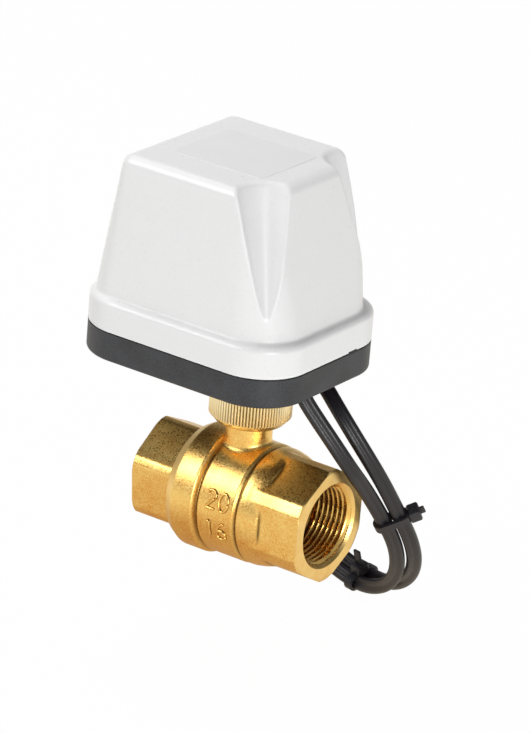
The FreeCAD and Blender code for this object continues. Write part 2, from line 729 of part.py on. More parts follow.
# Cover screws, up through the base
head_z = base_bottom + counterbore_depth - screw_head_height
cover_screw = cylinder(screw_head_r, head_z, head_z + screw_head_height)
cover_screw = cover_screw.fuse(cylinder(screw_shank_r, head_z + screw_head_height - 0.1,
                                        head_z + screw_head_height + cover_screw_length))
cover_screw = cover_screw.cut(block(-screw_head_r, screw_head_r, -screw_slot / 2, screw_slot / 2, head_z - 1, head_z + screw_slot_depth))
cover_screw = cover_screw.cut(block(-screw_slot / 2, screw_slot / 2, -screw_head_r, screw_head_r, head_z - 1, head_z + screw_slot_depth))
save("cover_screws", around(cover_screw, [(housing_x + x, y) for x, y in posts]))

# Gear frame
output_pitch_r = gear_module * output_teeth / 2
idler_pitch_r = gear_module * idler_wheel_teeth / 2
idler_pinion_r = gear_module * idler_pinion_teeth / 2
motor_pinion_r = gear_module * motor_teeth / 2
idler_x = stem_x + (output_pitch_r + idler_pinion_r) * math.cos(math.radians(idler_angle))
idler_y = (output_pitch_r + idler_pinion_r) * math.sin(math.radians(idler_angle))
motor_x = idler_x + (idler_pitch_r + motor_pinion_r) * math.cos(math.radians(motor_angle))
motor_y = idler_y + (idler_pitch_r + motor_pinion_r) * math.sin(math.radians(motor_angle))
switch_x = stem_x + switch_reach
screw_places = [(switch_x + switch_depth - switch_screw_inset, side * switch_screw_spacing / 2) for side in (-1, 1)]
for name, z, spindle in (("gear_plate_lower", lower_plate_z, output_r + 0.4),
                         ("gear_plate_upper", upper_plate_z, output_spindle_r + shaft_fit)):
    plate = rounded_block(housing_x, 0, plate_length, plate_width, plate_corner_r, z, z + plate_thickness)
    plate = plate.cut(cylinder(spindle, z - 1, z + plate_thickness + 1, stem_x))
    plate = plate.cut(cylinder(idler_pin_r, z - 1, z + plate_thickness + 1, idler_x, idler_y))
    plate = plate.cut(cylinder(motor_shaft_r + 0.4, z - 1, z + plate_thickness + 1, motor_x, motor_y))
    for x, y in pillars:
        plate = plate.cut(cylinder(pillar_bore_r, z - 1, z + plate_thickness + 1, housing_x + x, y))
    for x, y in screw_places if z == upper_plate_z else []:
        plate = plate.cut(cylinder(switch_screw_r, z - 1, z + plate_thickness + 1, x, y))
    save(name, plate)
pillar_z = lower_plate_z + plate_thickness
pillar = tube(pillar_r, pillar_bore_r, pillar_z, upper_plate_z)
save("plate_pillars", around(pillar, [(housing_x + x, y) for x, y in pillars]))
plate_top = upper_plate_z + plate_thickness
frame_screw = cylinder(screw_shank_r, frame_screw_start, plate_top + 0.1)
frame_screw = frame_screw.fuse(cylinder(screw_head_r, plate_top, plate_top + screw_head_height))
frame_screw = frame_screw.cut(block(-screw_head_r, screw_head_r, -screw_slot / 2, screw_slot / 2,
                                    plate_top + screw_head_height - screw_slot_depth, plate_top + 3))
save("frame_screws", around(frame_screw, [(housing_x + x, y) for x, y in pillars]))

# Gear train, in mesh at rest
output_gear = gear(output_teeth, lower_mesh_z, lower_mesh_z + lower_mesh_height, stem_x, 0, idler_angle, output_r)
save("output_gear", output_gear)
half_tooth = 180.0 / idler_pinion_teeth
pinion_phase = idler_angle + 180.0 + half_tooth
wheel_phase = motor_angle
cluster_top = upper_mesh_z + upper_mesh_height
pinion = gear(idler_pinion_teeth, lower_mesh_z - 0.2, upper_mesh_z, idler_x, idler_y, pinion_phase,
              idler_pin_r + shaft_fit)
wheel = gear(idler_wheel_teeth, upper_mesh_z, cluster_top, idler_x, idler_y, wheel_phase,
             idler_pin_r + shaft_fit)
save("idler_gear", pinion.fuse(wheel))
save("idler_pin", cylinder(idler_pin_r, lower_plate_z, plate_top, idler_x, idler_y))
motor_phase = motor_angle + 180.0 + 180.0 / motor_teeth
save("motor_pinion", gear(motor_teeth, upper_mesh_z - 0.2, cluster_top + 0.2, motor_x, motor_y, motor_phase,
                          motor_shaft_r))
gearbox_top = plate_top + gearbox_height
save("motor_shaft", cylinder(motor_shaft_r, upper_mesh_z - 2.0, gearbox_top - 2.0, motor_x, motor_y))

# Gearmotor on the upper plate
gearbox = cylinder(gearbox_r, plate_top, gearbox_top, motor_x, motor_y)
gearbox = gearbox.cut(cylinder(motor_shaft_r + shaft_fit, plate_top - 1, gearbox_top - 1.5, motor_x, motor_y))
save("gearbox_case", gearbox)
can_top = gearbox_top + motor_can_height
can = cylinder(motor_can_r, gearbox_top, can_top, motor_x, motor_y)
flat = motor_can_r * 0.84
can = can.common(block(motor_x - motor_can_r, motor_x + motor_can_r, motor_y - flat, motor_y + flat,
                       gearbox_top, can_top))
save("motor_can", can)
cap = cylinder(motor_cap_r, can_top, can_top + motor_cap_height, motor_x, motor_y)
for side in (-1, 1):
    tab_y = motor_y + side * motor_cap_r * 0.6
    cap = cap.fuse(block(motor_x - 1.2, motor_x + 1.2, tab_y - motor_tab / 2, tab_y + motor_tab / 2,
                         can_top + motor_cap_height - 0.5, can_top + motor_cap_height + 2.0))
save("motor_end_cap", cap)

# Output shaft with its slotted foot, bush and cams
shaft = cylinder(output_r, boss_bottom + 0.1, lower_mesh_z + lower_mesh_height + 0.5, stem_x)
shaft = shaft.fuse(cylinder(output_spindle_r, lower_mesh_z, output_top, stem_x))
socket = cylinder(stem_r + coupling_gap, boss_bottom - 1, coupling_top + 0.5, stem_x)
socket = socket.common(block(stem_x - output_r, stem_x + output_r, -coupling_flat / 2 - coupling_gap,
                             coupling_flat / 2 + coupling_gap, boss_bottom - 1, coupling_top + 1))
save("output_shaft", shaft.cut(socket))
bush = tube(output_r + shaft_fit + bush_wall, output_r + shaft_fit, bush_start, hub_top, stem_x)
bush = bush.fuse(tube(bush_flange_r, output_r + shaft_fit, hub_top, hub_top + bush_flange_height, stem_x))
save("output_bush", bush)


def cam(z, lobe_at):
    """Disc cam with one raised lobe; the lobe's middle stands at the given angle."""
    disc = cylinder(cam_low_r, z, z + cam_height, stem_x)
    lobe = Part.makeCylinder(cam_r, cam_height, V(stem_x, 0, z), Z_AXIS, cam_lobe_angle)
    lobe.rotate(V(stem_x, 0, 0), Z_AXIS, lobe_at - cam_lobe_angle / 2)
    return disc.fuse(lobe).cut(cylinder(output_spindle_r, z - 1, z + cam_height + 1, stem_x))


save("cam_closed", cam(cam_closed_z, -90.0))
save("cam_open", cam(cam_open_z, 0.0))

# Microswitches stacked beside the cams
switch_bottom = plate_top + switch_gap
switches = (("microswitch_closed", switch_bottom), ("microswitch_open", switch_bottom + switch_height + switch_gap))
for name, z in switches:
    switch = block(switch_x, switch_x + switch_depth, -switch_length / 2, switch_length / 2, z, z + switch_height)
    button_z = z + switch_height / 2
    switch = switch.fuse(Part.makeCylinder(switch_plunger_r, switch_plunger + 0.5, V(switch_x + 0.5, 0, button_z), V(-1, 0, 0)))
    for x, y in screw_places:
        switch = switch.cut(cylinder(switch_screw_r + 0.1, z - 1, z + switch_height + 1, x, y))
    tab_half = switch_tab_thickness / 2
    for y in (-switch_tab_spacing, 0.0, switch_tab_spacing):
        switch = switch.fuse(block(switch_x + switch_depth - 0.5, switch_x + switch_depth + switch_tab_length,
                                   y - switch_tab_half, y + switch_tab_half, button_z - tab_half, button_z + tab_half))
    save(name, switch)
spacer_top = switch_bottom + 2 * switch_height + switch_gap
switch_screw = cylinder(switch_screw_r, upper_plate_z, spacer_top + 0.1)
switch_screw = switch_screw.fuse(cylinder(switch_screw_head_r, spacer_top, spacer_top + switch_screw_head_height))
save("switch_screws", around(switch_screw, screw_places))

# Circuit board on two brackets, with its parts
board = block(housing_x - board_length / 2, housing_x + board_length / 2, board_y, board_y + board_thickness,
              board_z, board_z + board_height)
save("circuit_board", board)
brackets = []
board_back = board_y + board_thickness
for side in (-1, 1):
    x = housing_x + side * (board_length / 2 - bracket_inset)
    x0 = x - bracket_width / 2
    x1 = x + bracket_width / 2
    foot = block(x0, x1, board_y - bracket_thickness, board_y + bracket_foot, plate_top, plate_top + bracket_thickness)
    back = block(x0, x1, board_back, board_back + bracket_thickness, plate_top, board_z + bracket_rise)
    front = block(x0, x1, board_y - bracket_thickness, board_y, plate_top, board_z + bracket_lip)
    brackets.append(foot.fuse(back).fuse(front))
save("board_brackets", Part.makeCompound(brackets))
terminal_x = housing_x + terminal_shift - terminal_length / 2
terminal_z = board_z + terminal_rise
terminal_top = terminal_z + terminal_height
terminal = block(terminal_x, terminal_x + terminal_length, board_y - terminal_depth, board_y,
                 terminal_z, terminal_top)
for index in range(3):
    x = terminal_x + terminal_length * (index + 0.5) / 3
    terminal = terminal.cut(cylinder(terminal_hole_r, terminal_top - terminal_hole_depth, terminal_top + 1,
                                     x, board_y - terminal_depth / 2))
save("terminal_block", terminal)
relay_x = housing_x - board_length / 2 + relay_inset
relay_z = board_z + relay_rise
save("relay", block(relay_x, relay_x + relay_length, board_y - relay_depth, board_y,
                    relay_z, relay_z + relay_height))
capacitor_x = housing_x + board_length / 2 - capacitor_inset
save("capacitor", Part.makeCylinder(capacitor_r, capacitor_length, V(capacitor_x, board_y, board_z + capacitor_rise),
                                    V(0, -1, 0)))


def tie_frame(shape, centre, across, along):
    """Move a shape from its own axes to a place on the cable; X lies across the strands, Z along them."""
    out = along.cross(across)
    matrix = FreeCAD.Matrix(across.x, out.x, along.x, centre.x, across.y, out.y, along.y, centre.y,
                            across.z, out.z, along.z, centre.z, 0, 0, 0, 1)
    return shape.transformShape(matrix)


def cable_tie(first, second, along, head_at_end, stub):
    """Band round two strands with its locking head and the cut end of its strap."""
    along = V(along).normalize()
    reach = second.sub(first)
    reach = reach - along * reach.dot(along)
    half = reach.Length / 2
    across = V(reach).normalize()
    centre = (first + second) * 0.5
    inner_r = cable_r + tie_gap
    outer_r = inner_r + tie_thickness
    low = -tie_width / 2
    band = cylinder(outer_r, low, -low, -half).fuse(cylinder(outer_r, low, -low, half))
    band = band.fuse(block(-half, half, -outer_r, outer_r, low, -low))
    hole = cylinder(inner_r, low - 1, 1 - low, -half).fuse(cylinder(inner_r, low - 1, 1 - low, half))
    band = band.cut(hole.fuse(block(-half, half, -inner_r, inner_r, low - 1, 1 - low)))
    wide = tie_head_width / 2
    start = (half if head_at_end else 0.0) + inner_r + tie_thickness / 2
    top = start + tie_thickness / 2 + tie_head_height
    head = block(start, top, -wide, wide, -wide, wide)
    head = head.fuse(block(top - 0.5, top + stub, -tie_thickness / 2, tie_thickness / 2, low, -low))
    if not head_at_end:
        head.rotate(V(0, 0, 0), Z_AXIS, tie_turn)
    return tie_frame(band.fuse(head), centre, across, along)


# Cable with its grommet, ties and bare ends
route = [V(*point) for point in cable_route]
cable = round_tube(route, cable_r, "cable")
save("cable", cable)
grommet_at = (stem_x + grommet_x, grommet_y)
grommet = cylinder(grommet_r - 0.05, base_bottom - grommet_flange, floor_z + grommet_flange, *grommet_at)
grommet = grommet.fuse(cylinder(grommet_flange_r, base_bottom - grommet_flange, base_bottom, *grommet_at))
grommet = grommet.fuse(cylinder(grommet_flange_r, floor_z, floor_z + grommet_flange, *grommet_at))
save("cable_grommet", grommet.cut(cylinder(grommet_bore_r, base_bottom - 3, floor_z + 3, *grommet_at)))
for name, out, back, at_end, stub in (("cable_tie_front", 7, 30, True, tie_stub_front),
                                      ("cable_tie_rear", 13, 36, False, tie_stub_rear)):
    along = route[out + 1].sub(route[out - 1]).normalize() + route[back + 1].sub(route[back - 1]).normalize()
    save(name, cable_tie(route[out], route[back], along, at_end, stub).cut(cable))

end_way = route[-1].sub(route[-2]).normalize()
side_way = end_way.cross(Z_AXIS).normalize()
cores = []
for side in (-1, 1):
    foot = route[-1] + side_way * (side * core_spacing / 2)
    core = Part.makeCylinder(core_r, core_length, foot, end_way)
    core = core.fuse(Part.makeCylinder(strand_r, core_length + strand_length, foot, end_way))
    cores.append(core)
save("cable_ends", Part.makeCompound(cores))

supply = []
for side in (-1, 1):
    path = [V(x, y + side * lead_spacing / 2, z) for x, y, z in supply_route]
    supply.append(round_tube(path, lead_r, "supply lead"))
save("supply_leads", Part.makeCompound(supply))
motor_leads = [round_tube([V(*point) for point in points], lead_r, "motor lead")
               for points in (motor_lead_route_a, motor_lead_route_b)]
save("motor_leads", Part.makeCompound(motor_leads))
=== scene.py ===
"""Motorised drain ball valve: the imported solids, dressed with finished surfaces and materials.

Sizes in the classes are millimetres and become metres where a mesh is written. The axes are the part's own:
+X runs through the valve from inlet to outlet and +Z up along the stem.
"""

from __future__ import annotations

import logging
import math
from dataclasses import dataclass
from enum import Enum, IntEnum
from typing import Any, Callable, Sequence

import bmesh
import bpy
import numpy as np
from mathutils import Matrix

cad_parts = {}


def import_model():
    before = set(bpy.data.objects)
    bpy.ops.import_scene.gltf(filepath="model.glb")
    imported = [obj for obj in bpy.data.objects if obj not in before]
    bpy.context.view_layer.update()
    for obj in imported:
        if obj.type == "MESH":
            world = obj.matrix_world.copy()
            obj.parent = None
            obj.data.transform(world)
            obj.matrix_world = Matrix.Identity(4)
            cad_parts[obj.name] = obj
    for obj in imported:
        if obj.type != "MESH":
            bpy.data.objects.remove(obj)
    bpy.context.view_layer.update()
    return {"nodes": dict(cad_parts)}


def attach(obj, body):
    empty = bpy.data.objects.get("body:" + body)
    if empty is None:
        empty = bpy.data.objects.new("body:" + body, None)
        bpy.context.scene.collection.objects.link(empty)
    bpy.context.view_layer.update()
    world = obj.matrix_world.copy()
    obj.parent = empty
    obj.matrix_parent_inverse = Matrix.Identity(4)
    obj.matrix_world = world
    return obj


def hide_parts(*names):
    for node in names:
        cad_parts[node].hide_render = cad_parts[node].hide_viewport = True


MM = 0.001
# Points closer than this are one, and edges shorter than this are none, in metres
MERGE_M = 2e-6
NO_LENGTH_M = 1e-7
# Times that a ray's span is halved, which leaves far less than a nanometre
HALVINGS = 30
# Numbers of a Mix node's share, of its two numbers and of its two colours, and of the mixed colour's output
SHARE, NUMBER_A, NUMBER_B, COLOUR_A, COLOUR_B, MIXED_COLOUR = 0, 2, 3, 6, 7, 2
Array = np.ndarray
Field = Callable[[Array], Array]
log = logging.getLogger("drain_valve")


class Body(Enum):
    """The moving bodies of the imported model."""

    VALVE = "valve"
    NUT = "nut"
    ACTUATOR = "actuator"


class Axis(Enum):
    """The axis that turning marks go round."""

    X = 0
    Z = 2


class Cut(IntEnum):
    """How a face of the valve was made, as the number of its material."""

    FORGED = 0
    TURNED = 1
    THREAD = 2


# Colours and materials


def linear(code: str) -> tuple[float, float, float, float]:
    """Turn an sRGB hex colour into linear light.

    Args:
        code: Six hex digits after a hash sign.

    Returns:
        Linear red, green and blue, and an alpha of one.
    """
    parts = [int(code[i : i + 2], 16) / 255 for i in (1, 3, 5)]
    light = [c / 12.92 if c <= 0.04045 else ((c + 0.055) / 1.055) ** 2.4 for c in parts]
    return (light[0], light[1], light[2], 1.0)


def add_node(
    tree: bpy.types.NodeTree,
    kind: str,
    settings: dict[Any, Any] | None = None,
    links: dict[Any, bpy.types.NodeSocket] | None = None,
) -> bpy.types.Node:
    """Add one shader node with its settings and links.

    Args:
        tree: The material's or world's node tree.
        kind: The node's class name, after the ShaderNode that all of them begin with.
        settings: Properties of the node, or default values of its inputs, by name or number.
        links: Sockets that feed its inputs, by input name or number.

    Returns:
        The new node.
    """
    node = tree.nodes.new("ShaderNode" + kind)
    for name, value in (settings or {}).items():
        if isinstance(name, str) and hasattr(node, name):
            setattr(node, name, value)
        else:
            node.inputs[name].default_value = value
    for name, socket in (links or {}).items():
        tree.links.new(socket, node.inputs[name])
    return node


@dataclass(frozen=True)
class Finish:
    """A surface finish: a base colour broken up by grain, with roughness and relief from the same grain.

    grain_mm is the size of one grain, relief_mm its height, and shade is the colour in the grain's hollows.
    rings_mm is the spacing of turning marks round an axis, where there are any. soil is the colour of
    painted shade, laid where a surface's hollow attribute is near one: in grooves, roots and rooms inside.
    """

    name: str
    colour: str
    shade: str
    roughness: float
    metallic: float = 0.0
    grain_mm: float = 0.6
    relief_mm: float = 0.0
    roughness_swing: float = 0.06
    patch_mm: float = 9.0
    patch_share: float = 0.35
    rings_mm: float = 0.0
    rings_axis: Axis = Axis.X
    rings_relief_mm: float = 0.004
    painted_shade_colour: str = ""

    def material(self) -> bpy.types.Material:
        """Make the node material.

        Grain and patches are noise on object coordinates, so that they stay with the piece. Their mix picks
        between the two colours, and the grain alone moves the roughness and the relief. Nearly all of a noise
        lies between 0.3 and 0.7, so these ends are stretched to the whole range.

        Returns:
            The material, made once for each finish.
        """
        if self.name in bpy.data.materials:
            return bpy.data.materials[self.name]
        made = bpy.data.materials.new(self.name)
        made.use_nodes = True
        tree = made.node_tree
        tree.nodes.clear()
        place = add_node(tree, "TexCoord").outputs["Object"]
        grain = add_node(
            tree,
            "TexNoise",
            {"Scale": 1 / (self.grain_mm * MM), "Detail": 3.0, "Roughness": 0.6},
            {"Vector": place},
        ).outputs["Fac"]
        patch = add_node(
            tree, "TexNoise", {"Scale": 1 / (self.patch_mm * MM), "Detail": 2.0}, {"Vector": place}
        ).outputs["Fac"]
        both = add_node(
            tree, "Mix", {"data_type": "FLOAT", SHARE: self.patch_share}, {NUMBER_A: grain, NUMBER_B: patch}
        ).outputs[0]
        pick = add_node(
            tree, "MapRange", {"From Min": 0.3, "From Max": 0.62}, {"Value": both}
        ).outputs["Result"]
        tint = add_node(
            tree,
            "Mix",
            {"data_type": "RGBA", COLOUR_A: linear(self.shade), COLOUR_B: linear(self.colour)},
            {SHARE: pick},
        ).outputs[MIXED_COLOUR]
        # Painted shade: hollows take the darker colour as far as the hollow attribute says
        if self.painted_shade_colour:
            tint = self._shade_hollows(tree, tint, grain)
        smoothest, roughest = self.roughness - self.roughness_swing, self.roughness + self.roughness_swing
        rough = add_node(
            tree,
            "MapRange",
            {"From Min": 0.3, "From Max": 0.7, "To Min": smoothest, "To Max": roughest},
            {"Value": grain},
        ).outputs["Result"]
        links = {"Base Color": tint, "Roughness": rough}
        relief = None
        if self.relief_mm:
            relief = add_node(
                tree, "Bump", {"Distance": self.relief_mm * MM, "Strength": 1.0}, {"Height": grain}
            ).outputs["Normal"]
        if self.rings_mm:
            relief = self._rings(tree, place, relief)
        if relief:
            links["Normal"] = relief
        shader = add_node(tree, "BsdfPrincipled", {"Metallic": self.metallic}, links)
        add_node(tree, "OutputMaterial", None, {"Surface": shader.outputs["BSDF"]})
        return made

    def _shade_hollows(
        self, tree: bpy.types.NodeTree, clean: bpy.types.NodeSocket, grain: bpy.types.NodeSocket
    ) -> bpy.types.NodeSocket:
        """Paint shade into hollows: the share of soil is the hollow attribute times the grain's own lumps, up
        to one.

        Args:
            tree: The material's tree.
            clean: The clean colour.
            grain: The grain's noise.

        Returns:
            The mixed colour.
        """
        layer = add_node(tree, "Attribute", {"attribute_name": "hollow"}).outputs["Fac"]
        lump = add_node(
            tree,
            "MapRange",
            {"From Min": 0.3, "From Max": 0.6, "To Min": 0.75, "To Max": 1.1},
            {"Value": grain},
        ).outputs["Result"]
        share = add_node(
            tree, "Math", {"operation": "MULTIPLY", "use_clamp": True}, {0: layer, 1: lump}
        ).outputs[0]
        return add_node(
            tree, "Mix", {"data_type": "RGBA", COLOUR_B: linear(self.painted_shade_colour)}, {SHARE: share, COLOUR_A: clean}
        ).outputs[MIXED_COLOUR]

    def _rings(
        self, tree: bpy.types.NodeTree, place: bpy.types.NodeSocket, below: bpy.types.NodeSocket | None
    ) -> bpy.types.NodeSocket:
        """Add turning marks: the height is the sine of the way along and out from the axis over the spacing.

        Args:
            tree: The material's tree.
            place: Object coordinates.
            below: A normal to add to, if there is one.

        Returns:
            The bump's normal.
        """
        split = add_node(tree, "SeparateXYZ", None, {"Vector": place})
        flat = [1.0, 1.0, 1.0]
        flat[self.rings_axis.value] = 0.0
        plane = add_node(tree, "VectorMath", {"operation": "MULTIPLY", 1: flat}, {0: place}).outputs[0]
        out = add_node(tree, "VectorMath", {"operation": "LENGTH"}, {0: plane}).outputs["Value"]
        along = split.outputs[self.rings_axis.value]
        way = add_node(tree, "Math", {"operation": "ADD"}, {0: along, 1: out}).outputs[0]
        turns = 2 * math.pi / (self.rings_mm * MM)
        wave = add_node(tree, "Math", {"operation": "MULTIPLY", 1: turns}, {0: way}).outputs[0]
        height = add_node(tree, "Math", {"operation": "SINE"}, {0: wave}).outputs[0]
        links = {"Height": height}
        if below:
            links["Normal"] = below
        return add_node(tree, "Bump", {"Distance": self.rings_relief_mm * MM}, links).outputs["Normal"]


# Hot-forged brass, shot-blasted: a fine even sparkle over a soft gold. The blast's pits are a tenth of a
# millimetre, and the grain is drawn coarser, so that it shows
FORGED_BRASS = Finish(
    "blasted_brass",
    "#ffdc88",
    "#e6a145",
    0.33,
    metallic=1.0,
    grain_mm=0.55,
    relief_mm=0.05,
    roughness_swing=0.10,
    # painted shade in the grooves, at the hexagon's foot, round the neck's foot and the numerals' feet
    painted_shade_colour="#553510",
)
# The same brass where a lathe has cut it: brighter, with close tool marks
TURNED_BRASS = Finish(
    "turned_brass",
    "#fbd98f",
    "#efc474",
    0.36,
    metallic=1.0,
    grain_mm=3.0,
    roughness_swing=0.02,
    rings_mm=0.32,
    rings_relief_mm=0.002,
    # painted shade in the rooms inside the body and the adapter
    painted_shade_colour="#7d5a22",
)
# The thread's flanks, smoother than the face, with painted shade in their roots, deeper the further in they
# lie
THREAD_BRASS = Finish(
    "cut_thread_brass", "#f7cf7c", "#eab960", 0.26, metallic=1.0, grain_mm=2.0, painted_shade_colour="#a87a34"
)
# Free-cutting brass of the union nut, paler and satin, with painted shade in the knurl's furrows
NUT_BRASS = Finish(
    "knurled_brass", "#fff0c8", "#f6dfa8", 0.36, metallic=1.0, grain_mm=0.5, relief_mm=0.01, painted_shade_colour="#74541f"
)
# Turned brass bar, its marks round an upright axis
STEM_BRASS = Finish(
    "stem_brass", "#dcb766", "#c79d4a", 0.28, metallic=1.0, rings_mm=0.4, rings_axis=Axis.Z
)
# Hard chrome on the lapped ball: a mirror
CHROME_PLATE = Finish("chrome_plate", "#d8d9dc", "#cfd1d4", 0.07, metallic=1.0, roughness_swing=0.02)
# Turned PTFE, waxy white
PTFE = Finish("ptfe", "#f1f0ec", "#e6e5e0", 0.42, grain_mm=1.5)
# Moulded nitrile rubber, dull black
NITRILE = Finish("nitrile_rubber", "#1d1d1e", "#141415", 0.62, grain_mm=0.4, relief_mm=0.02)
# Rolled and stamped steel, grey with a soft sheen
SPRING_STEEL = Finish(
    "rolled_steel", "#b9babd", "#a3a5a8", 0.34, metallic=1.0, grain_mm=0.3, relief_mm=0.01
)
# Zinc-plated steel, a cool bright grey in faint patches
ZINC_PLATE = Finish("zinc_plate", "#c9ccd2", "#b3b6bd", 0.28, metallic=1.0, grain_mm=1.5, patch_share=0.6)
# Moulded ABS with a satin mould face, off-white
COVER_ABS = Finish(
    "satin_white_abs", "#f1f1f1", "#eeeeee", 0.30, grain_mm=0.9, relief_mm=0.004, roughness_swing=0.03
)
# Glass-filled nylon from a spark-eroded mould: a fine matt grain
BASE_NYLON = Finish("grained_black_nylon", "#3d3f44", "#1d1d21", 0.50, grain_mm=0.45, relief_mm=0.08)
# Printed polyester film, matt and a shade greyer than the cover
LABEL_FILM = Finish("matt_film", "#ededed", "#e9e9e9", 0.38, grain_mm=1.2, relief_mm=0.003)
# Extruded soft PVC: black with a long soft gloss
SHEATH_PVC = Finish(
    "pvc_sheath", "#211e23", "#171519", 0.38, grain_mm=0.7, relief_mm=0.012, roughness_swing=0.08
)
# Moulded nylon strap, black and a little glossy
TIE_NYLON = Finish("nylon_tie", "#26252a", "#1c1b20", 0.36, grain_mm=0.5, relief_mm=0.006)
# Cut acetal, ivory
ACETAL = Finish("acetal", "#e9e7dc", "#dedbcd", 0.38, grain_mm=1.0)
# Sintered bronze, brown and dull with its pores
BRONZE = Finish("sintered_bronze", "#b98a52", "#8f6538", 0.46, metallic=1.0, grain_mm=0.25, relief_mm=0.02)
# Moulded nylon of the motor's end cap, dull black
MOTOR_NYLON = Finish("motor_cap_nylon", "#2a2a2c", "#1f1f21", 0.48, grain_mm=0.5, relief_mm=0.01)
# Glass-epoxy board under green solder mask
BOARD = Finish("glass_epoxy_board", "#1f6b3a", "#185730", 0.36, grain_mm=0.5, relief_mm=0.006)
# Moulded polyamide of the terminals, plain green
TERMINAL = Finish("polyamide_terminal", "#3f9a55", "#358648", 0.44, grain_mm=0.8)
# Moulded relay case, plain blue
RELAY_CASE = Finish("relay_case", "#2c5aa8", "#244c90", 0.36, grain_mm=0.9)
# Deep-drawn aluminium, pale with a soft sheen
CAN_ALUMINIUM = Finish(
    "drawn_aluminium", "#c6c8cb", "#b4b6ba", 0.32, metallic=1.0, grain_mm=0.4, relief_mm=0.006
)
# Pressed phenolic of the switches, dull black
SWITCH_CASE = Finish("phenolic_case", "#28282a", "#1c1c1e", 0.50, grain_mm=0.4, relief_mm=0.01)
# Tinned copper strands, twisted: silver with copper in the hollows
TINNED_COPPER = Finish(
    "tinned_copper", "#c9bfb2", "#b08a68", 0.32, metallic=1.0, grain_mm=0.3, relief_mm=0.02
)
# Extruded PVC of the motor's leads, plain red
RED_PVC = Finish("red_lead_pvc", "#a3262a", "#8c1d22", 0.40, grain_mm=0.6)

NODE_FINISHES: dict[Finish, tuple[str, ...]] = {
    NITRILE: ("adapter_seal", "stem_o_rings", "base_gasket"),
    CHROME_PLATE: ("ball",),
    STEM_BRASS: ("stem", "plate_pillars", "motor_pinion"),
    PTFE: ("stem_thrust_washer", "seat_inlet", "seat_outlet"),
    SPRING_STEEL: (
        "nut_retaining_ring",
        "locating_pins",
        "gear_plate_lower",
        "gear_plate_upper",
        "output_gear",
        "idler_pin",
        "motor_shaft",
        "output_shaft",
        "board_brackets",
    ),
    ZINC_PLATE: ("cover_screws", "frame_screws", "motor_can", "switch_screws"),
    ACETAL: ("idler_gear", "cam_closed", "cam_open"),
    CAN_ALUMINIUM: ("gearbox_case", "capacitor"),
    MOTOR_NYLON: ("motor_end_cap",),
    BRONZE: ("output_bush",),
    SWITCH_CASE: ("microswitch_closed", "microswitch_open"),
    BOARD: ("circuit_board",),
    TERMINAL: ("terminal_block",),
    RELAY_CASE: ("relay",),
    SHEATH_PVC: ("supply_leads",),
    RED_PVC: ("motor_leads",),
}


# Surfaces


@dataclass
class Skin:
    """One surface as rows and columns of points, in millimetres.

    round_columns joins the last column to the first, and round_rows the last row to the first. slots gives
    each band between two rows its material number. hollow is how much painted shade each point gets, from 0
    to 1: more in grooves, furrows and roots, and most in the rooms inside.
    """

    points: Array
    round_columns: bool = True
    round_rows: bool = False
    slots: Array | None = None
    hollow: Array | None = None

    def faces(self) -> Array:
        """Join rows and columns by quads: a point, the next one beside it, and the two below them.

        Returns:
            The numbers of each quad's four points.
        """
        rows, columns = self.points.shape[:2]
        row = np.arange(rows if self.round_rows else rows - 1)[:, None]
        column = np.arange(columns if self.round_columns else columns - 1)[None, :]
        below = (row + 1) % rows
        beside = (column + 1) % columns
        above = row * columns
        under = below * columns
        corners = (above + column, above + beside, under + beside, under + column)
        return np.stack([np.broadcast_to(c, (row.size, column.size)) for c in corners], -1).reshape(-1, 4)

    def face_slots(self) -> Array:
        """Spread each band's material number over its quads.

        Returns:
            The material number of every quad.
        """
        rows, columns = self.points.shape[:2]
        bands = rows if self.round_rows else rows - 1
        across = columns if self.round_columns else columns - 1
        slots = np.zeros(bands, int) if self.slots is None else np.asarray(self.slots, int)[:bands]
        return np.repeat(slots, across)


def write_mesh(
    name: str, skins: Sequence[Skin], finishes: Sequence[Finish], crease: float
) -> bpy.types.Object:
    """Write surfaces into one object, merge their seams and poles and turn every face outwards.

    Args:
        name: The object's name.
        skins: Its surfaces.
        finishes: Its finishes, in the order of the skins' material numbers.
        crease: Edges sharper than this many degrees stay sharp.

    Returns:
        The linked object, standing at the origin.
    """
    points = np.concatenate([s.points.reshape(-1, 3) for s in skins]) * MM
    starts = np.cumsum([0] + [s.points.shape[0] * s.points.shape[1] for s in skins[:-1]])
    faces = np.concatenate([s.faces() + start for s, start in zip(skins, starts)])
    slots = np.concatenate([s.face_slots() for s in skins])
    mesh = bpy.data.meshes.new(name)
    mesh.vertices.add(len(points))
    mesh.vertices.foreach_set("co", points.astype(np.float32).ravel())
    mesh.loops.add(faces.size)
    mesh.loops.foreach_set("vertex_index", faces.astype(np.int32).ravel())
    mesh.polygons.add(len(faces))
    mesh.polygons.foreach_set("loop_start", np.arange(0, faces.size, 4, dtype=np.int32))
    mesh.polygons.foreach_set("loop_total", np.full(len(faces), 4, np.int32))
    mesh.polygons.foreach_set("material_index", slots.astype(np.int32))
    # Each point's share of painted shade, carried by the hollow attribute
    shade_share = [np.broadcast_to(0.0 if s.hollow is None else s.hollow, s.points.shape[:2]) for s in skins]
    layer = mesh.attributes.new("hollow", "FLOAT", "POINT")
    layer.data.foreach_set("value", np.concatenate([s.ravel() for s in shade_share]).astype(np.float32))
    mesh.update(calc_edges=True)
    mesh.validate()
    return finish_mesh(name, mesh, finishes, crease)


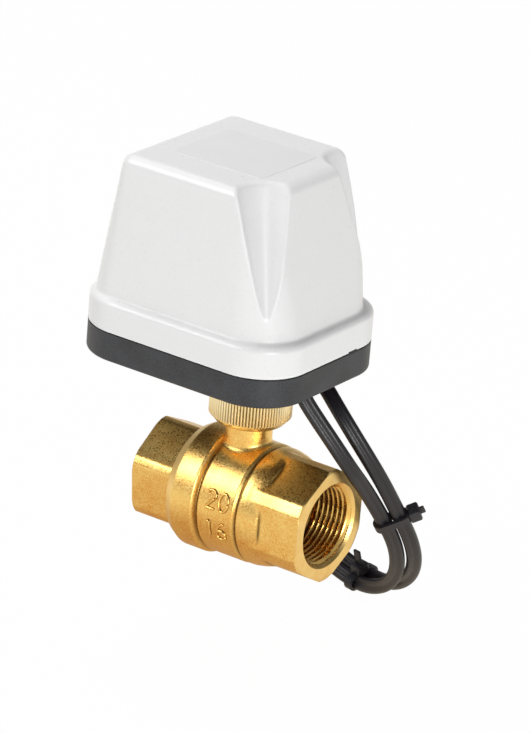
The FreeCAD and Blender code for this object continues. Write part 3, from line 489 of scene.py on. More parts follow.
def finish_mesh(
    name: str, mesh: bpy.types.Mesh, finishes: Sequence[Finish], crease: float, outwards: bool = True
) -> bpy.types.Object:
    """Merge doubles, turn faces outwards, smooth the shading and link the object.

    Args:
        name: The object's name.
        mesh: Its mesh.
        finishes: Its finishes.
        crease: Edges sharper than this many degrees stay sharp.
        outwards: Whether the faces' direction is worked out afresh.

    Returns:
        The linked object.
    """
    work = bmesh.new()
    work.from_mesh(mesh)
    bmesh.ops.remove_doubles(work, verts=work.verts, dist=MERGE_M)
    bmesh.ops.dissolve_degenerate(work, edges=work.edges, dist=NO_LENGTH_M)
    if outwards:
        bmesh.ops.recalc_face_normals(work, faces=work.faces)
    work.to_mesh(mesh)
    work.free()
    mesh.polygons.foreach_set("use_smooth", np.ones(len(mesh.polygons), bool))
    mesh.set_sharp_from_angle(angle=math.radians(crease))
    for finish in finishes:
        mesh.materials.append(finish.material())
    mesh.update()
    made = bpy.data.objects.new(name, mesh)
    bpy.context.scene.collection.objects.link(made)
    return made


def smooth_copy(name: str, node: bpy.types.Object, finish: Finish, crease: float = 28.0) -> bpy.types.Object:
    """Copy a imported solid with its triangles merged, so that its round faces shade smoothly.

    Args:
        name: The copy's name.
        node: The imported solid's object.
        finish: The copy's finish.
        crease: Edges sharper than this many degrees stay sharp.

    Returns:
        The linked copy.
    """
    mesh = node.data.copy()
    mesh.name = name
    mesh.materials.clear()
    if mesh.has_custom_normals:
        mesh.attributes.remove(mesh.attributes["custom_normal"])
    return finish_mesh(name, mesh, [finish], crease, outwards=False)


def place(piece: bpy.types.Object, body: Body, slot: str, *nodes: str) -> None:
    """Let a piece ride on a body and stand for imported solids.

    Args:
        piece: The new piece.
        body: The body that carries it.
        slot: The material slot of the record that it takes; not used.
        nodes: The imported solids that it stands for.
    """
    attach(piece, body.value)
    if nodes:
        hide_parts(*nodes)
    log.info("%s rides on %s with %d faces", piece.name, body.value, len(piece.data.polygons))


def soft_max(a: Array, b: Array, blend: float) -> Array:
    """The larger of two values, plus blend / 4 times the squared share by which they are closer than it."""
    over = np.maximum(blend - np.abs(a - b), 0) / blend
    return np.maximum(a, b) + over * over * blend / 4


def soft_min(a: Array, b: Array, blend: float) -> Array:
    """The smaller of two values, rounded in the same way."""
    return -soft_max(-a, -b, blend)


def rounded_edge(a: Array, b: Array, r: float) -> Array:
    """Distance outside two surfaces that meet in a round edge.

    Args:
        a: Distance outside the one.
        b: Distance outside the other.
        r: The edge's radius.

    Returns:
        The distance at each point, below zero inside.
    """
    u = np.maximum(a + r, 0)
    v = np.maximum(b + r, 0)
    return np.minimum(-r, np.maximum(a, b)) + np.hypot(u, v)


def rounded_rectangle(x: Array, y: Array, half_x: Any, half_y: Any, r: Any) -> Array:
    """Distance outside a rectangle with round corners: the offset past each corner's centre, less r.

    Args:
        x: Places along the length, from the middle.
        y: Places along the width, from the middle.
        half_x: Half the length.
        half_y: Half the width.
        r: Corner radius.

    Returns:
        The distance at each point, below zero inside.
    """
    past_x = np.abs(x) - half_x + r
    past_y = np.abs(y) - half_y + r
    outside = np.hypot(np.maximum(past_x, 0), np.maximum(past_y, 0))
    return outside + np.minimum(np.maximum(past_x, past_y), 0) - r


def full_turn(count: int) -> Array:
    """Evenly spaced angles round a full turn, in radians."""
    return np.linspace(0, 2 * math.pi, count, endpoint=False)


def corner_turns(count: int) -> tuple[Array, Array, Array]:
    """Points round a rectangle's four round corners.

    Args:
        count: Number of points on each corner.

    Returns:
        Their angles, and the signs of the corners in X and Y.
    """
    quarter = np.linspace(0, math.pi / 2, count)
    angles = np.concatenate([quarter + k * math.pi / 2 for k in range(4)])
    return angles, np.repeat([1, -1, -1, 1], count), np.repeat([1, 1, -1, -1], count)


def shade_near(away: Array, width: float) -> Array:
    """Share of painted shade at a distance from a corner: e to the minus square of distance over width."""
    return np.exp(-((away / width) ** 2))


def leave(field: Field, start: Array, way: Array, reach: float) -> Array:
    """Points where rays leave a solid, found by halving the span between inside and outside.

    Args:
        field: Distance outside the solid at an array of points.
        start: Points inside it.
        way: Unit directions.
        reach: How far a ray may go.

    Returns:
        One point on the surface for each ray.
    """
    low = np.zeros(start.shape[:-1])
    high = np.full(start.shape[:-1], float(reach))
    for _ in range(HALVINGS):
        middle = (low + high) / 2
        inside = field(start + way * middle[..., None]) < 0
        low = np.where(inside, middle, low)
        high = np.where(inside, high, middle)
    return start + way * high[..., None]


def smoothed(stations: Array, values: Array, width: float) -> Array:
    """Round the corners of a profile: each value becomes a bell-shaped average of those near it.

    Args:
        stations: Places of the profile's corners.
        values: The profile at these.
        width: Standard deviation of the bell.

    Returns:
        Fine stations and the rounded values at them, as two rows.
    """
    step = 0.02
    fine = np.arange(stations[0] - 4 * width, stations[-1] + 4 * width, step)
    line = np.interp(fine, stations, values)
    bell = np.exp(-0.5 * (np.arange(-4 * width, 4 * width + step, step) / width) ** 2)
    soft = np.convolve(line, bell / bell.sum(), "same")
    keep = slice(len(bell) // 2, -(len(bell) // 2) or None)
    return np.stack([fine[keep], soft[keep]])


def spread(*spans: tuple[float, float, float]) -> Array:
    """Stations along a line of spans.

    Args:
        spans: The start and the end of each span, and the step between its stations.

    Returns:
        Evenly spaced stations in each span, ending at the last span's end.
    """
    parts = []
    for start, end, step in spans:
        count = max(int(round(abs(end - start) / step)), 1)
        parts.append(np.linspace(start, end, count, endpoint=False))
    return np.concatenate(parts + [np.array([spans[-1][1]])])


# Valve

VALVE_BRASS = (FORGED_BRASS, TURNED_BRASS, THREAD_BRASS)
# Painted shade in the rooms inside the valve
INSIDE_SHADE = 0.9


@dataclass(frozen=True)
class PipeThread:
    """Female pipe thread: the wall's radius swings between crest and root once in each pitch and turn.

    step is the distance between rows of points along it. mouth_rows is how many of them the chamfer at the
    mouth takes, and land is how far a wave is stretched before it is clipped to flat crests and roots. Painted
    shade sets in between the two depths of shaded, and is root_shade at a root plus depth_shade for each
    millimetre.
    """

    root_r: float = 13.15
    crest_r: float = 12.05
    pitch: float = 1.814
    mouth_r: float = 14.0
    depth: float = 14.0
    step: float = 0.165
    mouth_rows: int = 9
    land: float = 1.35
    shaded: tuple[float, float] = (1.2, 3.2)
    root_shade: float = 0.55
    depth_shade: float = 0.035
    most_shade: float = 0.95

    def radius(self, depth: Array, angle: Array) -> Array:
        """Wall radius at a depth behind the mouth and an angle round the axis.

        A rounded triangle wave of depth over pitch plus the share of a turn, opened out by a 45 degree mouth.

        Args:
            depth: Distance behind the mouth.
            angle: Angle round the axis, in radians.

        Returns:
            The radius at each point.
        """
        phase = depth / self.pitch + angle / (2 * math.pi)
        wave = 2 * np.abs(2 * (phase - np.floor(phase + 0.5))) - 1
        wave = np.clip(wave * self.land, -1, 1)
        wall = (self.root_r + self.crest_r) / 2 + wave * (self.root_r - self.crest_r) / 2
        return np.maximum(wall, self.mouth_r - depth)

    def shade(self, depth: Array, angle: Array) -> Array:
        """How much painted shade the wall gets: more at the roots, and more the deeper it lies.

        Args:
            depth: Distance behind the mouth.
            angle: Angle round the axis, in radians.

        Returns:
            Painted shade from 0 to 1 at each point.
        """
        root = (self.radius(depth, angle) - self.crest_r) / (self.root_r - self.crest_r)
        inside = np.clip((depth - self.shaded[0]) / (self.shaded[1] - self.shaded[0]), 0, 1)
        full = self.root_shade * root**2 + self.depth_shade * depth
        return np.clip(inside * full, 0, self.most_shade)


@dataclass(frozen=True)
class CutHexagon:
    """Hexagon bar with its corners cut flat, one pair of flats facing sideways before it is turned."""

    flats: float
    corner_r: float
    turn: float = 0.0
    edge: float = 0.35

    def radius(self, angle: Array) -> Array:
        """Outline radius: the nearest of six flats and six cut corners, each distance over a cosine.

        Args:
            angle: Angles round the bar's axis.

        Returns:
            The radius at each angle.
        """
        turned = angle - math.radians(self.turn)
        sixth = math.pi / 3
        flat = (turned + sixth / 2) % sixth - sixth / 2
        corner = turned % sixth - sixth / 2
        return soft_min(self.flats / 2 / np.cos(flat), self.corner_r / np.cos(corner), self.edge)


def around_x(stations: Array, radii: Array, angles: Array) -> Array:
    """Points round the flow axis: station, then radius times cosine and sine of the angle."""
    x = np.broadcast_to(stations[:, None], radii.shape)
    return np.stack([x, radii * np.cos(angles), radii * np.sin(angles)], -1)


@dataclass
class ValveBody:
    """Forged body: turned bands, outlet hexagon, threaded port and neck.

    softening is the reach over which the turned profile's corners are rounded, hex_blend that of the corner
    between shoulder and hexagon, and edge_blend that of the end's edge. grooves are the middles of the two
    turned grooves, and hex_foot that of the corner where the hexagon's flats meet the band. Painted shade lies
    in these, hollow_shade_width wide. On the hexagon it is on the flats alone, and fades out over flat_fade
    where the radius rises to flat_r. neck_sink is how far the foot of the neck dips into the barrel, and
    neck_root how far it goes on below it. figures are the numerals, their middles along the axis, and their
    angles in radians above its level.
    """

    length: float = 65.0
    collar_x: float = 15.6
    collar_r: float = 20.5
    middle_r: float = 19.4
    hexagon: CutHexagon = CutHexagon(34.5, 18.73)
    hex_x: float = 46.0
    end_round_r: float = 18.95
    end_chamfer: float = 0.5
    softening: float = 0.17
    hex_blend: float = 0.4
    edge_blend: float = 0.12
    collar_turned: float = 18.5
    grooves: tuple[float, float] = (27.25, 42.05)
    hex_foot: float = 50.3
    hollow_shade: float = 0.85
    hollow_shade_width: float = 0.55
    flat_r: float = 18.3
    flat_fade: float = 0.9
    foot_shade: float = 0.35
    foot_shade_width: float = 0.5
    thread: PipeThread = PipeThread()
    flow_r: float = 9.5
    stem_x: float = 32.0
    neck_r: float = 7.5
    neck_top: float = 33.2
    neck_foot: float = 1.6
    neck_sink: float = 0.12
    neck_root: float = 3.0
    stem_bore_r: float = 4.05
    figures: tuple[tuple[str, float, float], ...] = (("20", 35.2, 0.25), ("16", 35.0, -0.26))
    figure_half_gap: float = 2.35
    bead_half_width: float = 0.52
    bead_height: float = 0.62
    columns: int = 300

    def outer_radius(self, stations: Array, angles: Array) -> Array:
        """Outer radius: the turned profile, with the hexagon standing out of its falling shoulder.

        Args:
            stations: Places along the flow axis.
            angles: Angles round it.

        Returns:
            Radii, one row for each station.
        """
        # Place along the axis and radius of each corner of the turned profile
        corners = np.array(
            [
                (self.collar_x - 1, 18.0),
                (self.collar_x, 18.9),
                (18.3, 20.4),
                (18.6, self.collar_r),
                (26.0, self.collar_r),
                (26.5, 19.9),
                (27.0, 18.6),
                (27.5, 18.5),
                (28.1, self.middle_r),
                (41.1, self.middle_r),
                (41.7, 18.55),
                (42.2, 18.4),
                (42.8, 19.1),
                (43.3, 19.2),
                (45.0, 19.1),
                (47.5, 18.6),
                (49.4, 18.0),
                (50.0, 17.3),
                (50.5, 15.0),
                (66.0, 12.0),
            ]
        )
        fine = smoothed(corners[:, 0], corners[:, 1], self.softening)
        turned = np.interp(stations, fine[0], fine[1])[:, None]
        hexagon = np.where(stations[:, None] > self.hex_x, self.hexagon.radius(angles)[None, :], 0.0)
        radius = soft_max(turned + 0 * hexagon, hexagon, self.hex_blend)
        end = self.end_round_r - 2 * np.maximum(stations - (self.length - self.end_chamfer), 0)
        end = np.where(stations > self.hex_x, end, 2 * self.collar_r)
        return soft_min(radius, end[:, None] + 0 * radius, self.edge_blend)

    def shell(self) -> Skin:
        """Body as one surface: out over the bands, in through the port and back through the ball's room.

        Returns:
            A closed surface, with turned metal on its cut faces.
        """
        angles = full_turn(self.columns)
        outer_x = spread(
            (self.collar_x, 17.4, 0.45),
            (17.4, 18.8, 0.15),
            (18.8, 25.4, 0.8),
            (25.4, 29.1, 0.14),
            (29.1, 40.5, 0.8),
            (40.5, 44.0, 0.14),
            (44.0, 48.6, 0.5),
            (48.6, 52.0, 0.12),
            (52.0, 64.2, 0.9),
            (64.2, self.length, 0.1),
        )
        outer = around_x(outer_x, self.outer_radius(outer_x, angles), angles)
        depth = spread((0.0, self.thread.depth, self.thread.step))
        port = around_x(self.length - depth, self.thread.radius(depth[:, None], angles[None, :]), angles)
        rim = np.linspace(outer[-1], port[0], 5)[1:-1]
        # Past the thread, back through the ball's room and out to the collar: place along the axis and radius
        deep = np.array(
            [
                (51.0, 12.0),
                (50.6, 12.0),
                (49.4, 9.7),
                (49.2, self.flow_r),
                (46.4, self.flow_r),
                (46.3, 9.6),
                (46.3, 14.3),
                (37.2, 14.3),
                (37.0, 15.5),
                (22.1, 15.5),
                (22.0, 17.05),
                (15.7, 17.05),
                (self.collar_x, 17.15),
            ]
        )
        inner = around_x(deep[:, 0], np.repeat(deep[:, 1:], self.columns, 1), angles)
        points = np.concatenate([outer, rim, port, inner])
        port_start = len(outer) + len(rim)
        port_end = port_start + len(port)
        slots = np.full(len(points), Cut.TURNED, int)
        chamfer_start = len(outer) - 1 - int(np.sum(outer_x > self.length - self.end_chamfer))
        slots[int(np.sum(outer_x < self.collar_turned)) : chamfer_start] = Cut.FORGED
        slots[len(outer) + self.thread.mouth_rows : port_end] = Cut.THREAD
        # Painted shade: in the grooves, at the hexagon's foot, in the thread and in the rooms inside
        hollow = np.zeros(points.shape[:2])
        for groove in self.grooves:
            near = shade_near(outer_x - groove, self.hollow_shade_width)
            hollow[: len(outer)] += self.hollow_shade * near[:, None]
        flat = np.clip((self.flat_r - self.hexagon.radius(angles)) / self.flat_fade, 0, 1)[None, :]
        near = shade_near(outer_x - self.hex_foot, self.hollow_shade_width)
        hollow[: len(outer)] += self.hollow_shade * flat * near[:, None]
        hollow[port_start:port_end] = self.thread.shade(depth[:, None], angles[None, :])
        hollow[port_end:] = INSIDE_SHADE
        return Skin(points, round_rows=True, slots=slots, hollow=hollow)

    def neck(self) -> Skin:
        """Neck whose foot flares out and lies on the barrel.

        At each angle the foot's quarter round is laid on the barrel's own height, the root of the radius
        squared less the sideways distance squared.

        Returns:
            A closed surface.
        """
        angles = full_turn(144)
        arc = np.linspace(0, math.pi / 2, 14)
        out = np.concatenate([[0.0], self.neck_r + self.neck_foot * (1 - np.sin(arc))])
        lift = np.concatenate([[-self.neck_root], self.neck_foot * (1 - np.cos(arc)) - self.neck_sink])
        out[0] = out[1]
        across = out[:, None] * np.sin(angles)[None, :]
        barrel = np.sqrt(self.middle_r**2 - across**2)
        height = barrel + lift[:, None]
        # Up the neck, over its top and down the stem's bore: radius and height
        upper = np.array(
            [
                (self.neck_r, 26.0),
                (self.neck_r, self.neck_top - 0.4),
                (self.neck_r - 0.4, self.neck_top),
                (self.stem_bore_r, self.neck_top),
                (self.stem_bore_r, 18.0),
                (0.0, 18.0),
            ]
        )
        radii = np.concatenate([out, upper[:, 0]])[:, None] + 0 * angles[None, :]
        heights = np.concatenate([height, upper[:, 1:] + 0 * angles[None, :]])
        base = np.stack([0 * angles + self.stem_x, 0 * angles, 0 * angles + 12.0], -1)[None]
        rows = np.stack([self.stem_x + radii * np.cos(angles), radii * np.sin(angles), heights], -1)
        points = np.concatenate([base, rows])
        # Painted shade in the crease round the neck's foot, fading with height above the barrel
        above = points[..., 2] - np.sqrt(self.middle_r**2 - points[..., 1] ** 2)
        return Skin(points, hollow=self.foot_shade * shade_near(above, self.foot_shade_width))

    def numerals(self) -> list[bpy.types.Object]:
        """Raised plain numerals wrapped round the middle band, in two lines.

        Returns:
            One object for each line.
        """
        made = []
        for text, x, turn in self.figures:
            beads = []
            for figure, side in zip(text, (-1, 1)):
                middle = x + side * self.figure_half_gap
                beads += [
                    bead(flat, middle, self.middle_r, turn, self.bead_half_width, self.bead_height)
                    for flat in strokes(figure)
                ]
            made.append(write_mesh("cast_numeral_" + text, beads, (FORGED_BRASS,), crease=60))
        return made

    def build(self) -> None:
        """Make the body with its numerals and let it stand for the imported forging."""
        piece = write_mesh("valve_body_forging", [self.shell(), self.neck()], VALVE_BRASS, crease=34)
        place(piece, Body.VALVE, "forged_brass", "valve_body")
        for numeral in self.numerals():
            place(numeral, Body.VALVE, "forged_brass")


def strokes(figure: str) -> list[tuple[Array, Array]]:
    """Lines that draw one plain figure four units wide and six high, about its middle.

    The curves are parts of ellipses: centre plus half sizes times cosine and sine of an angle that runs
    evenly.

    Args:
        figure: One of the figures 0, 1, 2 and 6.

    Returns:
        Across and upward places along each line.
    """

    def arc(x: float, y: float, a: float, b: float, start: float, stop: float) -> tuple[Array, Array]:
        """Part of an ellipse between two angles in degrees."""
        angle = np.radians(np.linspace(start, stop, 40))
        return x + a * np.cos(angle), y + b * np.sin(angle)

    def line(x0: float, y0: float, x1: float, y1: float) -> tuple[Array, Array]:
        """Straight line between two points."""
        return np.linspace(x0, x1, 20), np.linspace(y0, y1, 20)

    drawn = {
        "0": [arc(0.0, 0.0, 1.7, 2.9, 0, 360)],
        "1": [line(-1.0, 2.0, 0.3, 2.9), line(0.3, 2.9, 0.3, -2.9)],
        "2": [
            arc(0.0, 1.4, 1.65, 1.5, 165, -35),
            line(1.35, 0.54, -1.7, -2.9),
            line(-1.7, -2.9, 1.8, -2.9),
        ],
        "6": [arc(0.0, -1.3, 1.65, 1.6, 0, 360), arc(1.5, -1.3, 3.15, 4.2, 180, 94)],
    }
    return drawn[figure]


def bead(
    flat: tuple[Array, Array], x: float, r: float, turn: float, half_width: float, height: float
) -> Skin:
    """Raised round bead along a drawn line that is bent round the flow axis on the side that faces -Y.

    The section is an ellipse: half width across the line and height outwards, both shrunk at the two ends by
    the root of one less the square of the way past the end's centre over the half width. An upward place
    becomes an angle, its length over the radius.

    Args:
        flat: Across and upward places along the line.
        x: Where the line's middle lies along the axis.
        r: Radius of the band below.
        turn: Angle of the line's middle above the level of the axis, in radians.
        half_width: Half the bead's width.
        height: How far it stands above the band.

    Returns:
        The closed bead, with painted shade at its foot.
    """
    line = np.stack(flat, -1)
    step = np.hypot(*np.diff(line, axis=0).T)
    way = np.concatenate([[0.0], np.cumsum(step)])
    fine = spread((0.0, way[-1], 0.12))
    line = np.stack([np.interp(fine, way, line[:, k]) for k in range(2)], -1)
    along = np.gradient(line, axis=0)
    along /= np.hypot(along[:, 0], along[:, 1])[:, None]
    to_end = np.minimum(fine, way[-1] - fine) / half_width
    shrink = np.sqrt(1 - np.clip(1 - to_end, 0, 1) ** 2)[:, None]
    section = full_turn(16)[None, :]
    across = half_width * shrink * np.cos(section)
    lift = height * shrink * np.sin(section)
    place_x = x + line[:, :1] - along[:, 1:] * across
    angle = turn + (line[:, 1:] + along[:, :1] * across) / r
    radius = r + lift
    points = np.stack([place_x, -radius * np.cos(angle), radius * np.sin(angle)], -1)
    return Skin(points, hollow=np.clip(1.2 - 1.9 * lift / height, 0, 1))


@dataclass
class EndAdapter:
    """Inlet end: hexagon with its port thread and the spigot that screws into the body."""

    hexagon: CutHexagon = CutHexagon(31.7, 17.6, turn=6.0)
    spigot_r: float = 17.0
    spigot_end: float = 21.9
    seat_room_r: float = 14.3
    flow_r: float = 9.5
    end_round_r: float = 17.75
    end_chamfer: float = 0.5
    edge_blend: float = 0.12
    joint_x: float = 15.2
    hollow_shade: float = 0.8
    hollow_shade_width: float = 0.5
    thread: PipeThread = PipeThread()
    columns: int = 264

    def shell(self) -> Skin:
        """Adapter as one closed surface: out over the hexagon and the spigot, then back through the bore.

        Returns:
            The surface, with turned metal on its cut faces.
        """
        angles = full_turn(self.columns)
        x = spread((0.0, 0.8, 0.1), (0.8, 14.4, 0.9), (14.4, 14.9, 0.1))
        radius = np.repeat(self.hexagon.radius(angles)[None, :], len(x), 0)
        end = self.end_round_r - 2 * np.maximum(self.end_chamfer - x, 0)
        radius = soft_min(radius, end[:, None] + 0 * radius, self.edge_blend)
        outer = around_x(x, radius, angles)
        # Over the spigot, then back through the seat's room to the thread: place along the axis and radius
        tail = np.array(
            [
                (15.0, self.spigot_r),
                (self.spigot_end - 0.4, self.spigot_r),
                (self.spigot_end, self.spigot_r - 0.4),
                (self.spigot_end, self.seat_room_r),
                (17.8, self.seat_room_r),
                (17.7, self.seat_room_r - 0.1),
                (17.7, self.flow_r),
                (15.8, self.flow_r),
                (15.6, 9.7),
                (14.4, 12.0),
                (14.1, 12.0),
            ]
        )
        spigot = around_x(tail[:, 0], np.repeat(tail[:, 1:], self.columns, 1), angles)
        depth = spread((self.thread.depth, 0.0, self.thread.step))
        port = around_x(depth, self.thread.radius(depth[:, None], -angles[None, :]), angles)
        rim = np.linspace(port[-1], outer[0], 5)[1:-1]
        points = np.concatenate([outer, spigot, port, rim])
        port_start = len(outer) + len(spigot)
        port_end = port_start + len(port)
        slots = np.full(len(points), Cut.TURNED, int)
        slots[int(np.sum(x < self.end_chamfer)) : len(outer) - 1] = Cut.FORGED
        slots[port_start : port_end - self.thread.mouth_rows] = Cut.THREAD
        # Painted shade at the joint with the body, in the rooms inside and in the thread's roots
        hollow = np.zeros(points.shape[:2])
        hollow[: len(outer)] = self.hollow_shade * shade_near(x - self.joint_x, self.hollow_shade_width)[:, None]
        hollow[len(outer) : port_start] = INSIDE_SHADE
        hollow[port_start:port_end] = self.thread.shade(depth[:, None], -angles[None, :])
        return Skin(points, round_rows=True, slots=slots, hollow=hollow)

    def build(self) -> None:
        """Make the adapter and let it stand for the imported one."""
        piece = write_mesh("end_adapter_hexagon", [self.shell()], VALVE_BRASS, crease=34)
        place(piece, Body.VALVE, "forged_brass", "end_adapter")


@dataclass
class UnionNut:
    """Nut with a straight knurl, a chamfered rim below and a plain band above.

    rib_power narrows the furrows between the ribs, and residue is how much painted shade lies in them.
    """

    stem_x: float = 32.0
    outer_r: float = 13.1
    rib_depth: float = 0.55
    ribs: int = 80
    rib_power: float = 1.8
    hollow_shade: float = 0.85
    bottom: float = 26.3
    top: float = 43.9
    neck_r: float = 7.48
    bore_r: float = 11.48
    lip_top: float = 30.2

    def shell(self) -> Skin:
        """Nut as one closed surface.

        The outline's radius is the profile's, less the rib depth times a rounded wave with one crest for each
        rib, and the wave fades out at both ends of the knurled band.

        Returns:
            The surface.
        """
        angles = full_turn(self.ribs * 8)
        r = self.outer_r
        # Radius, height, and the share of the ribs' depth
        profile = np.array(
            [
                (self.neck_r, self.bottom, 0),
                (r - 2.2, self.bottom, 0),
                (r - 1.9, self.bottom + 0.1, 0),
                (r - 0.75, self.bottom + 1.5, 0),
                (r - 0.5, self.bottom + 1.75, 0),
                (r - 0.2, self.bottom + 1.95, 0.7),
                (r, self.bottom + 2.2, 1),
                (r, self.bottom + 9.0, 1),
                (r, self.top - 0.9, 1),
                (r - 0.3, self.top - 0.6, 0.6),
                (r - 0.8, self.top - 0.1, 0),
                (r - 1.0, self.top, 0),
                (self.bore_r, self.top, 0),
                (self.bore_r, self.lip_top, 0),
                (self.neck_r, self.lip_top, 0),
            ]
        )
        wave = (0.5 - 0.5 * np.cos(self.ribs * angles)) ** self.rib_power
        radii = profile[:, :1] - self.rib_depth * profile[:, 2:] * wave[None, :]
        rows = np.stack(
            [
                self.stem_x + radii * np.cos(angles),
                radii * np.sin(angles),
                np.repeat(profile[:, 1:2], len(angles), 1),
            ],
            -1,
        )
        # Painted shade in the knurl's furrows
        return Skin(rows, round_rows=True, hollow=self.hollow_shade * profile[:, 2:] * wave[None, :] ** 2)

    def build(self) -> None:
        """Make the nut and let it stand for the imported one."""
        piece = write_mesh("union_nut", [self.shell()], (NUT_BRASS,), crease=40)
        place(piece, Body.NUT, "nut_brass", "knurled_nut")


# Actuator


@dataclass
class Cover:
    """Moulded cover: a flange, a tapering dome above it and a flute down each corner of the outlet end.

    Each pair of radii gives the corners at the outlet's and at the inlet's end. hub_x is where the rays that
    find the surface start, because every point of the flutes can be seen from there, and reach is longer than
    any of them. flange_turn and top_turn are how far below the flange's and the dome's top rays begin to turn
    upwards. A flute's edge is flute_low_edge round at its foot and grows by flute_edge as flute_edge_rise
    times the share of the way up runs to one. Columns are shared out by outline, where column_turn degrees of
    turning count as much as column_mm of length.
    """

    centre_x: float = 21.7
    length: float = 78.5
    width: float = 64.6
    corner_r: float = 16.6
    bottom: float = 54.1
    flange_top: float = 64.3
    flange_edge_r: float = 2.0
    ledge: float = 2.7
    top: float = 111.2
    top_length: float = 52.5
    top_width: float = 57.6
    top_shift: float = 0.65
    foot_radii: tuple[float, float] = (16.0, 11.5)
    top_radii: tuple[float, float] = (6.0, 3.6)
    edge_r: float = 3.2
    wall: float = 2.2
    flute_bottom: float = 72.0
    flute_bottom_r: float = 2.0
    flute_top_r: float = 10.2
    flute_cut_x: float = 8.5
    flute_cut_y: float = 16.0
    flute_edge: float = 1.6
    flute_low_edge: float = 0.12
    flute_edge_rise: float = 1.6
    fillet: float = 1.1
    label_length: float = 34.0
    label_width: float = 30.0
    label_corner_r: float = 1.5
    label_sunk: float = 0.15
    label_proud: float = 0.12
    thin_edge: float = 0.05
    # A dark slab that stands in for the shaded latch notch in the rim: painted shade
    tab_middle: tuple[float, float] = (60.4, 10.6)
    tab_size: tuple[float, float] = (1.2, 4.8)
    tab_span: tuple[float, float] = (53.6, 54.75)
    tab_corner_r: float = 0.3
    rim_tuck: float = 0.006
    flange_turn: float = 3.3
    top_turn: float = 5.2
    hub_x: float = 8.0
    reach: float = 60.0
    edge_reach: float = 12.0
    columns: int = 620
    column_mm: float = 0.9
    column_turn: float = 3.5

    def flange_field(self, p: Array) -> Array:
        """Distance outside the flange: its outline and its top meet in a round edge.

        Args:
            p: Points.

        Returns:
            The distance at each point, below zero inside.
        """
        across = p[..., 0] - self.centre_x
        side = rounded_rectangle(across, p[..., 1], self.length / 2, self.width / 2, self.corner_r)
        return rounded_edge(side, p[..., 2] - self.flange_top, self.flange_edge_r)

    def plain_side(self, p: Array) -> Array:
        """Distance outside the dome's sides: half sizes, shift and corner radii run evenly from foot to top.

        Args:
            p: Points.

        Returns:
            The distance at each point, below zero inside.
        """
        rise = np.clip((p[..., 2] - self.flange_top) / (self.top - self.flange_top), 0, 1.1)
        half_x, half_y = self.half_sizes(rise)
        outlet_r, inlet_r = (a + (b - a) * rise for a, b in zip(self.foot_radii, self.top_radii))
        across = p[..., 0] - self.centre_x - self.top_shift * rise
        return rounded_rectangle(across, p[..., 1], half_x, half_y, np.where(across > 0, outlet_r, inlet_r))

    def half_sizes(self, rise: Any) -> tuple[Any, Any]:
        """Half length and half width of the dome at a share of its height.

        Args:
            rise: The share, 0 at the foot and 1 at the top.

        Returns:
            The two half sizes.
        """
        foot_x = self.length / 2 - self.ledge
        foot_y = self.width / 2 - self.ledge
        return foot_x + (self.top_length / 2 - foot_x) * rise, foot_y + (self.top_width / 2 - foot_y) * rise

    def flute(self, p: Array) -> tuple[Array, Array]:
        """Depth inside the two flutes: slanting cones from a point at each outlet corner to a chord on top.

        Args:
            p: Points.

        Returns:
            The cone's radius less the distance from its line, and the share of the way up the flute.
        """
        chord = math.hypot(self.flute_cut_x, self.flute_cut_y)
        out = (self.flute_cut_y / chord, self.flute_cut_x / chord)
        set_out = math.sqrt(self.flute_top_r**2 - (chord / 2) ** 2)
        top_at = (
            self.top_length / 2 + self.top_shift - self.flute_cut_x / 2 + out[0] * set_out,
            self.top_width / 2 - self.flute_cut_y / 2 + out[1] * set_out,
        )
        low_rise = (self.flute_bottom - self.flange_top) / (self.top - self.flange_top)
        low_r = self.foot_radii[0] + (self.top_radii[0] - self.foot_radii[0]) * low_rise
        reach = (low_r + self.flute_bottom_r) * math.sqrt(0.5)
        low_at = [half - low_r + reach for half in self.half_sizes(low_rise)]
        share = (p[..., 2] - self.flute_bottom) / (self.top - self.flute_bottom)
        cone_x = low_at[0] + (top_at[0] - low_at[0]) * share
        cone_y = low_at[1] + (top_at[1] - low_at[1]) * share
        cone_r = self.flute_bottom_r + (self.flute_top_r - self.flute_bottom_r) * share
        return cone_r - np.hypot(p[..., 0] - self.centre_x - cone_x, np.abs(p[..., 1]) - cone_y), share

    def fluted(self, solid: Array, p: Array) -> Array:
        """Take the flutes from a solid; their edges are rounder the higher they are.

        Args:
            solid: Distance outside the solid.
            p: Points.

        Returns:
            Distance outside what is left.
        """
        cone, share = self.flute(p)
        edge = self.flute_low_edge + self.flute_edge * np.clip(self.flute_edge_rise * share, 0, 1)
        return soft_max(solid, cone, edge)

    def field(self, p: Array) -> Array:
        """Distance outside the whole cover, with a small fillet where the dome stands on the flange."""
        dome = self.fluted(rounded_edge(self.plain_side(p), p[..., 2] - self.top, self.edge_r), p)
        return soft_min(self.flange_field(p), dome, self.fillet)

    def angles(self) -> Array:
        """Angles of the columns, closer together where the outline bends.

        At five heights the outline's length over column_mm and its turning over column_turn are added up,
        and the columns share the total evenly. The turning is first evened out over neighbours.

        Returns:
            Angles round the hub.
        """
        near = 20
        fine = np.linspace(0, 2 * math.pi, 4001)
        weight = np.zeros(len(fine) - 1)
        for height in (60.0, 76.0, 88.0, 100.0, 108.0):
            line = self.ring(np.array([height]), fine)[0, :, :2]
            step = np.diff(line, axis=0)
            arc = np.hypot(step[:, 0], step[:, 1])
            heading = np.unwrap(np.arctan2(step[:, 1], step[:, 0]))
            turning = np.abs(np.gradient(heading))
            wrapped = np.concatenate([turning[-near:], turning, turning[:near]])
            turning = np.convolve(wrapped, np.ones(2 * near + 1) / (2 * near + 1), "same")[near:-near]
            weight += arc / self.column_mm + turning / math.radians(self.column_turn)
        total = np.concatenate([[0], np.cumsum(weight)])
        return np.interp(np.linspace(0, total[-1], self.columns, endpoint=False), total, fine)

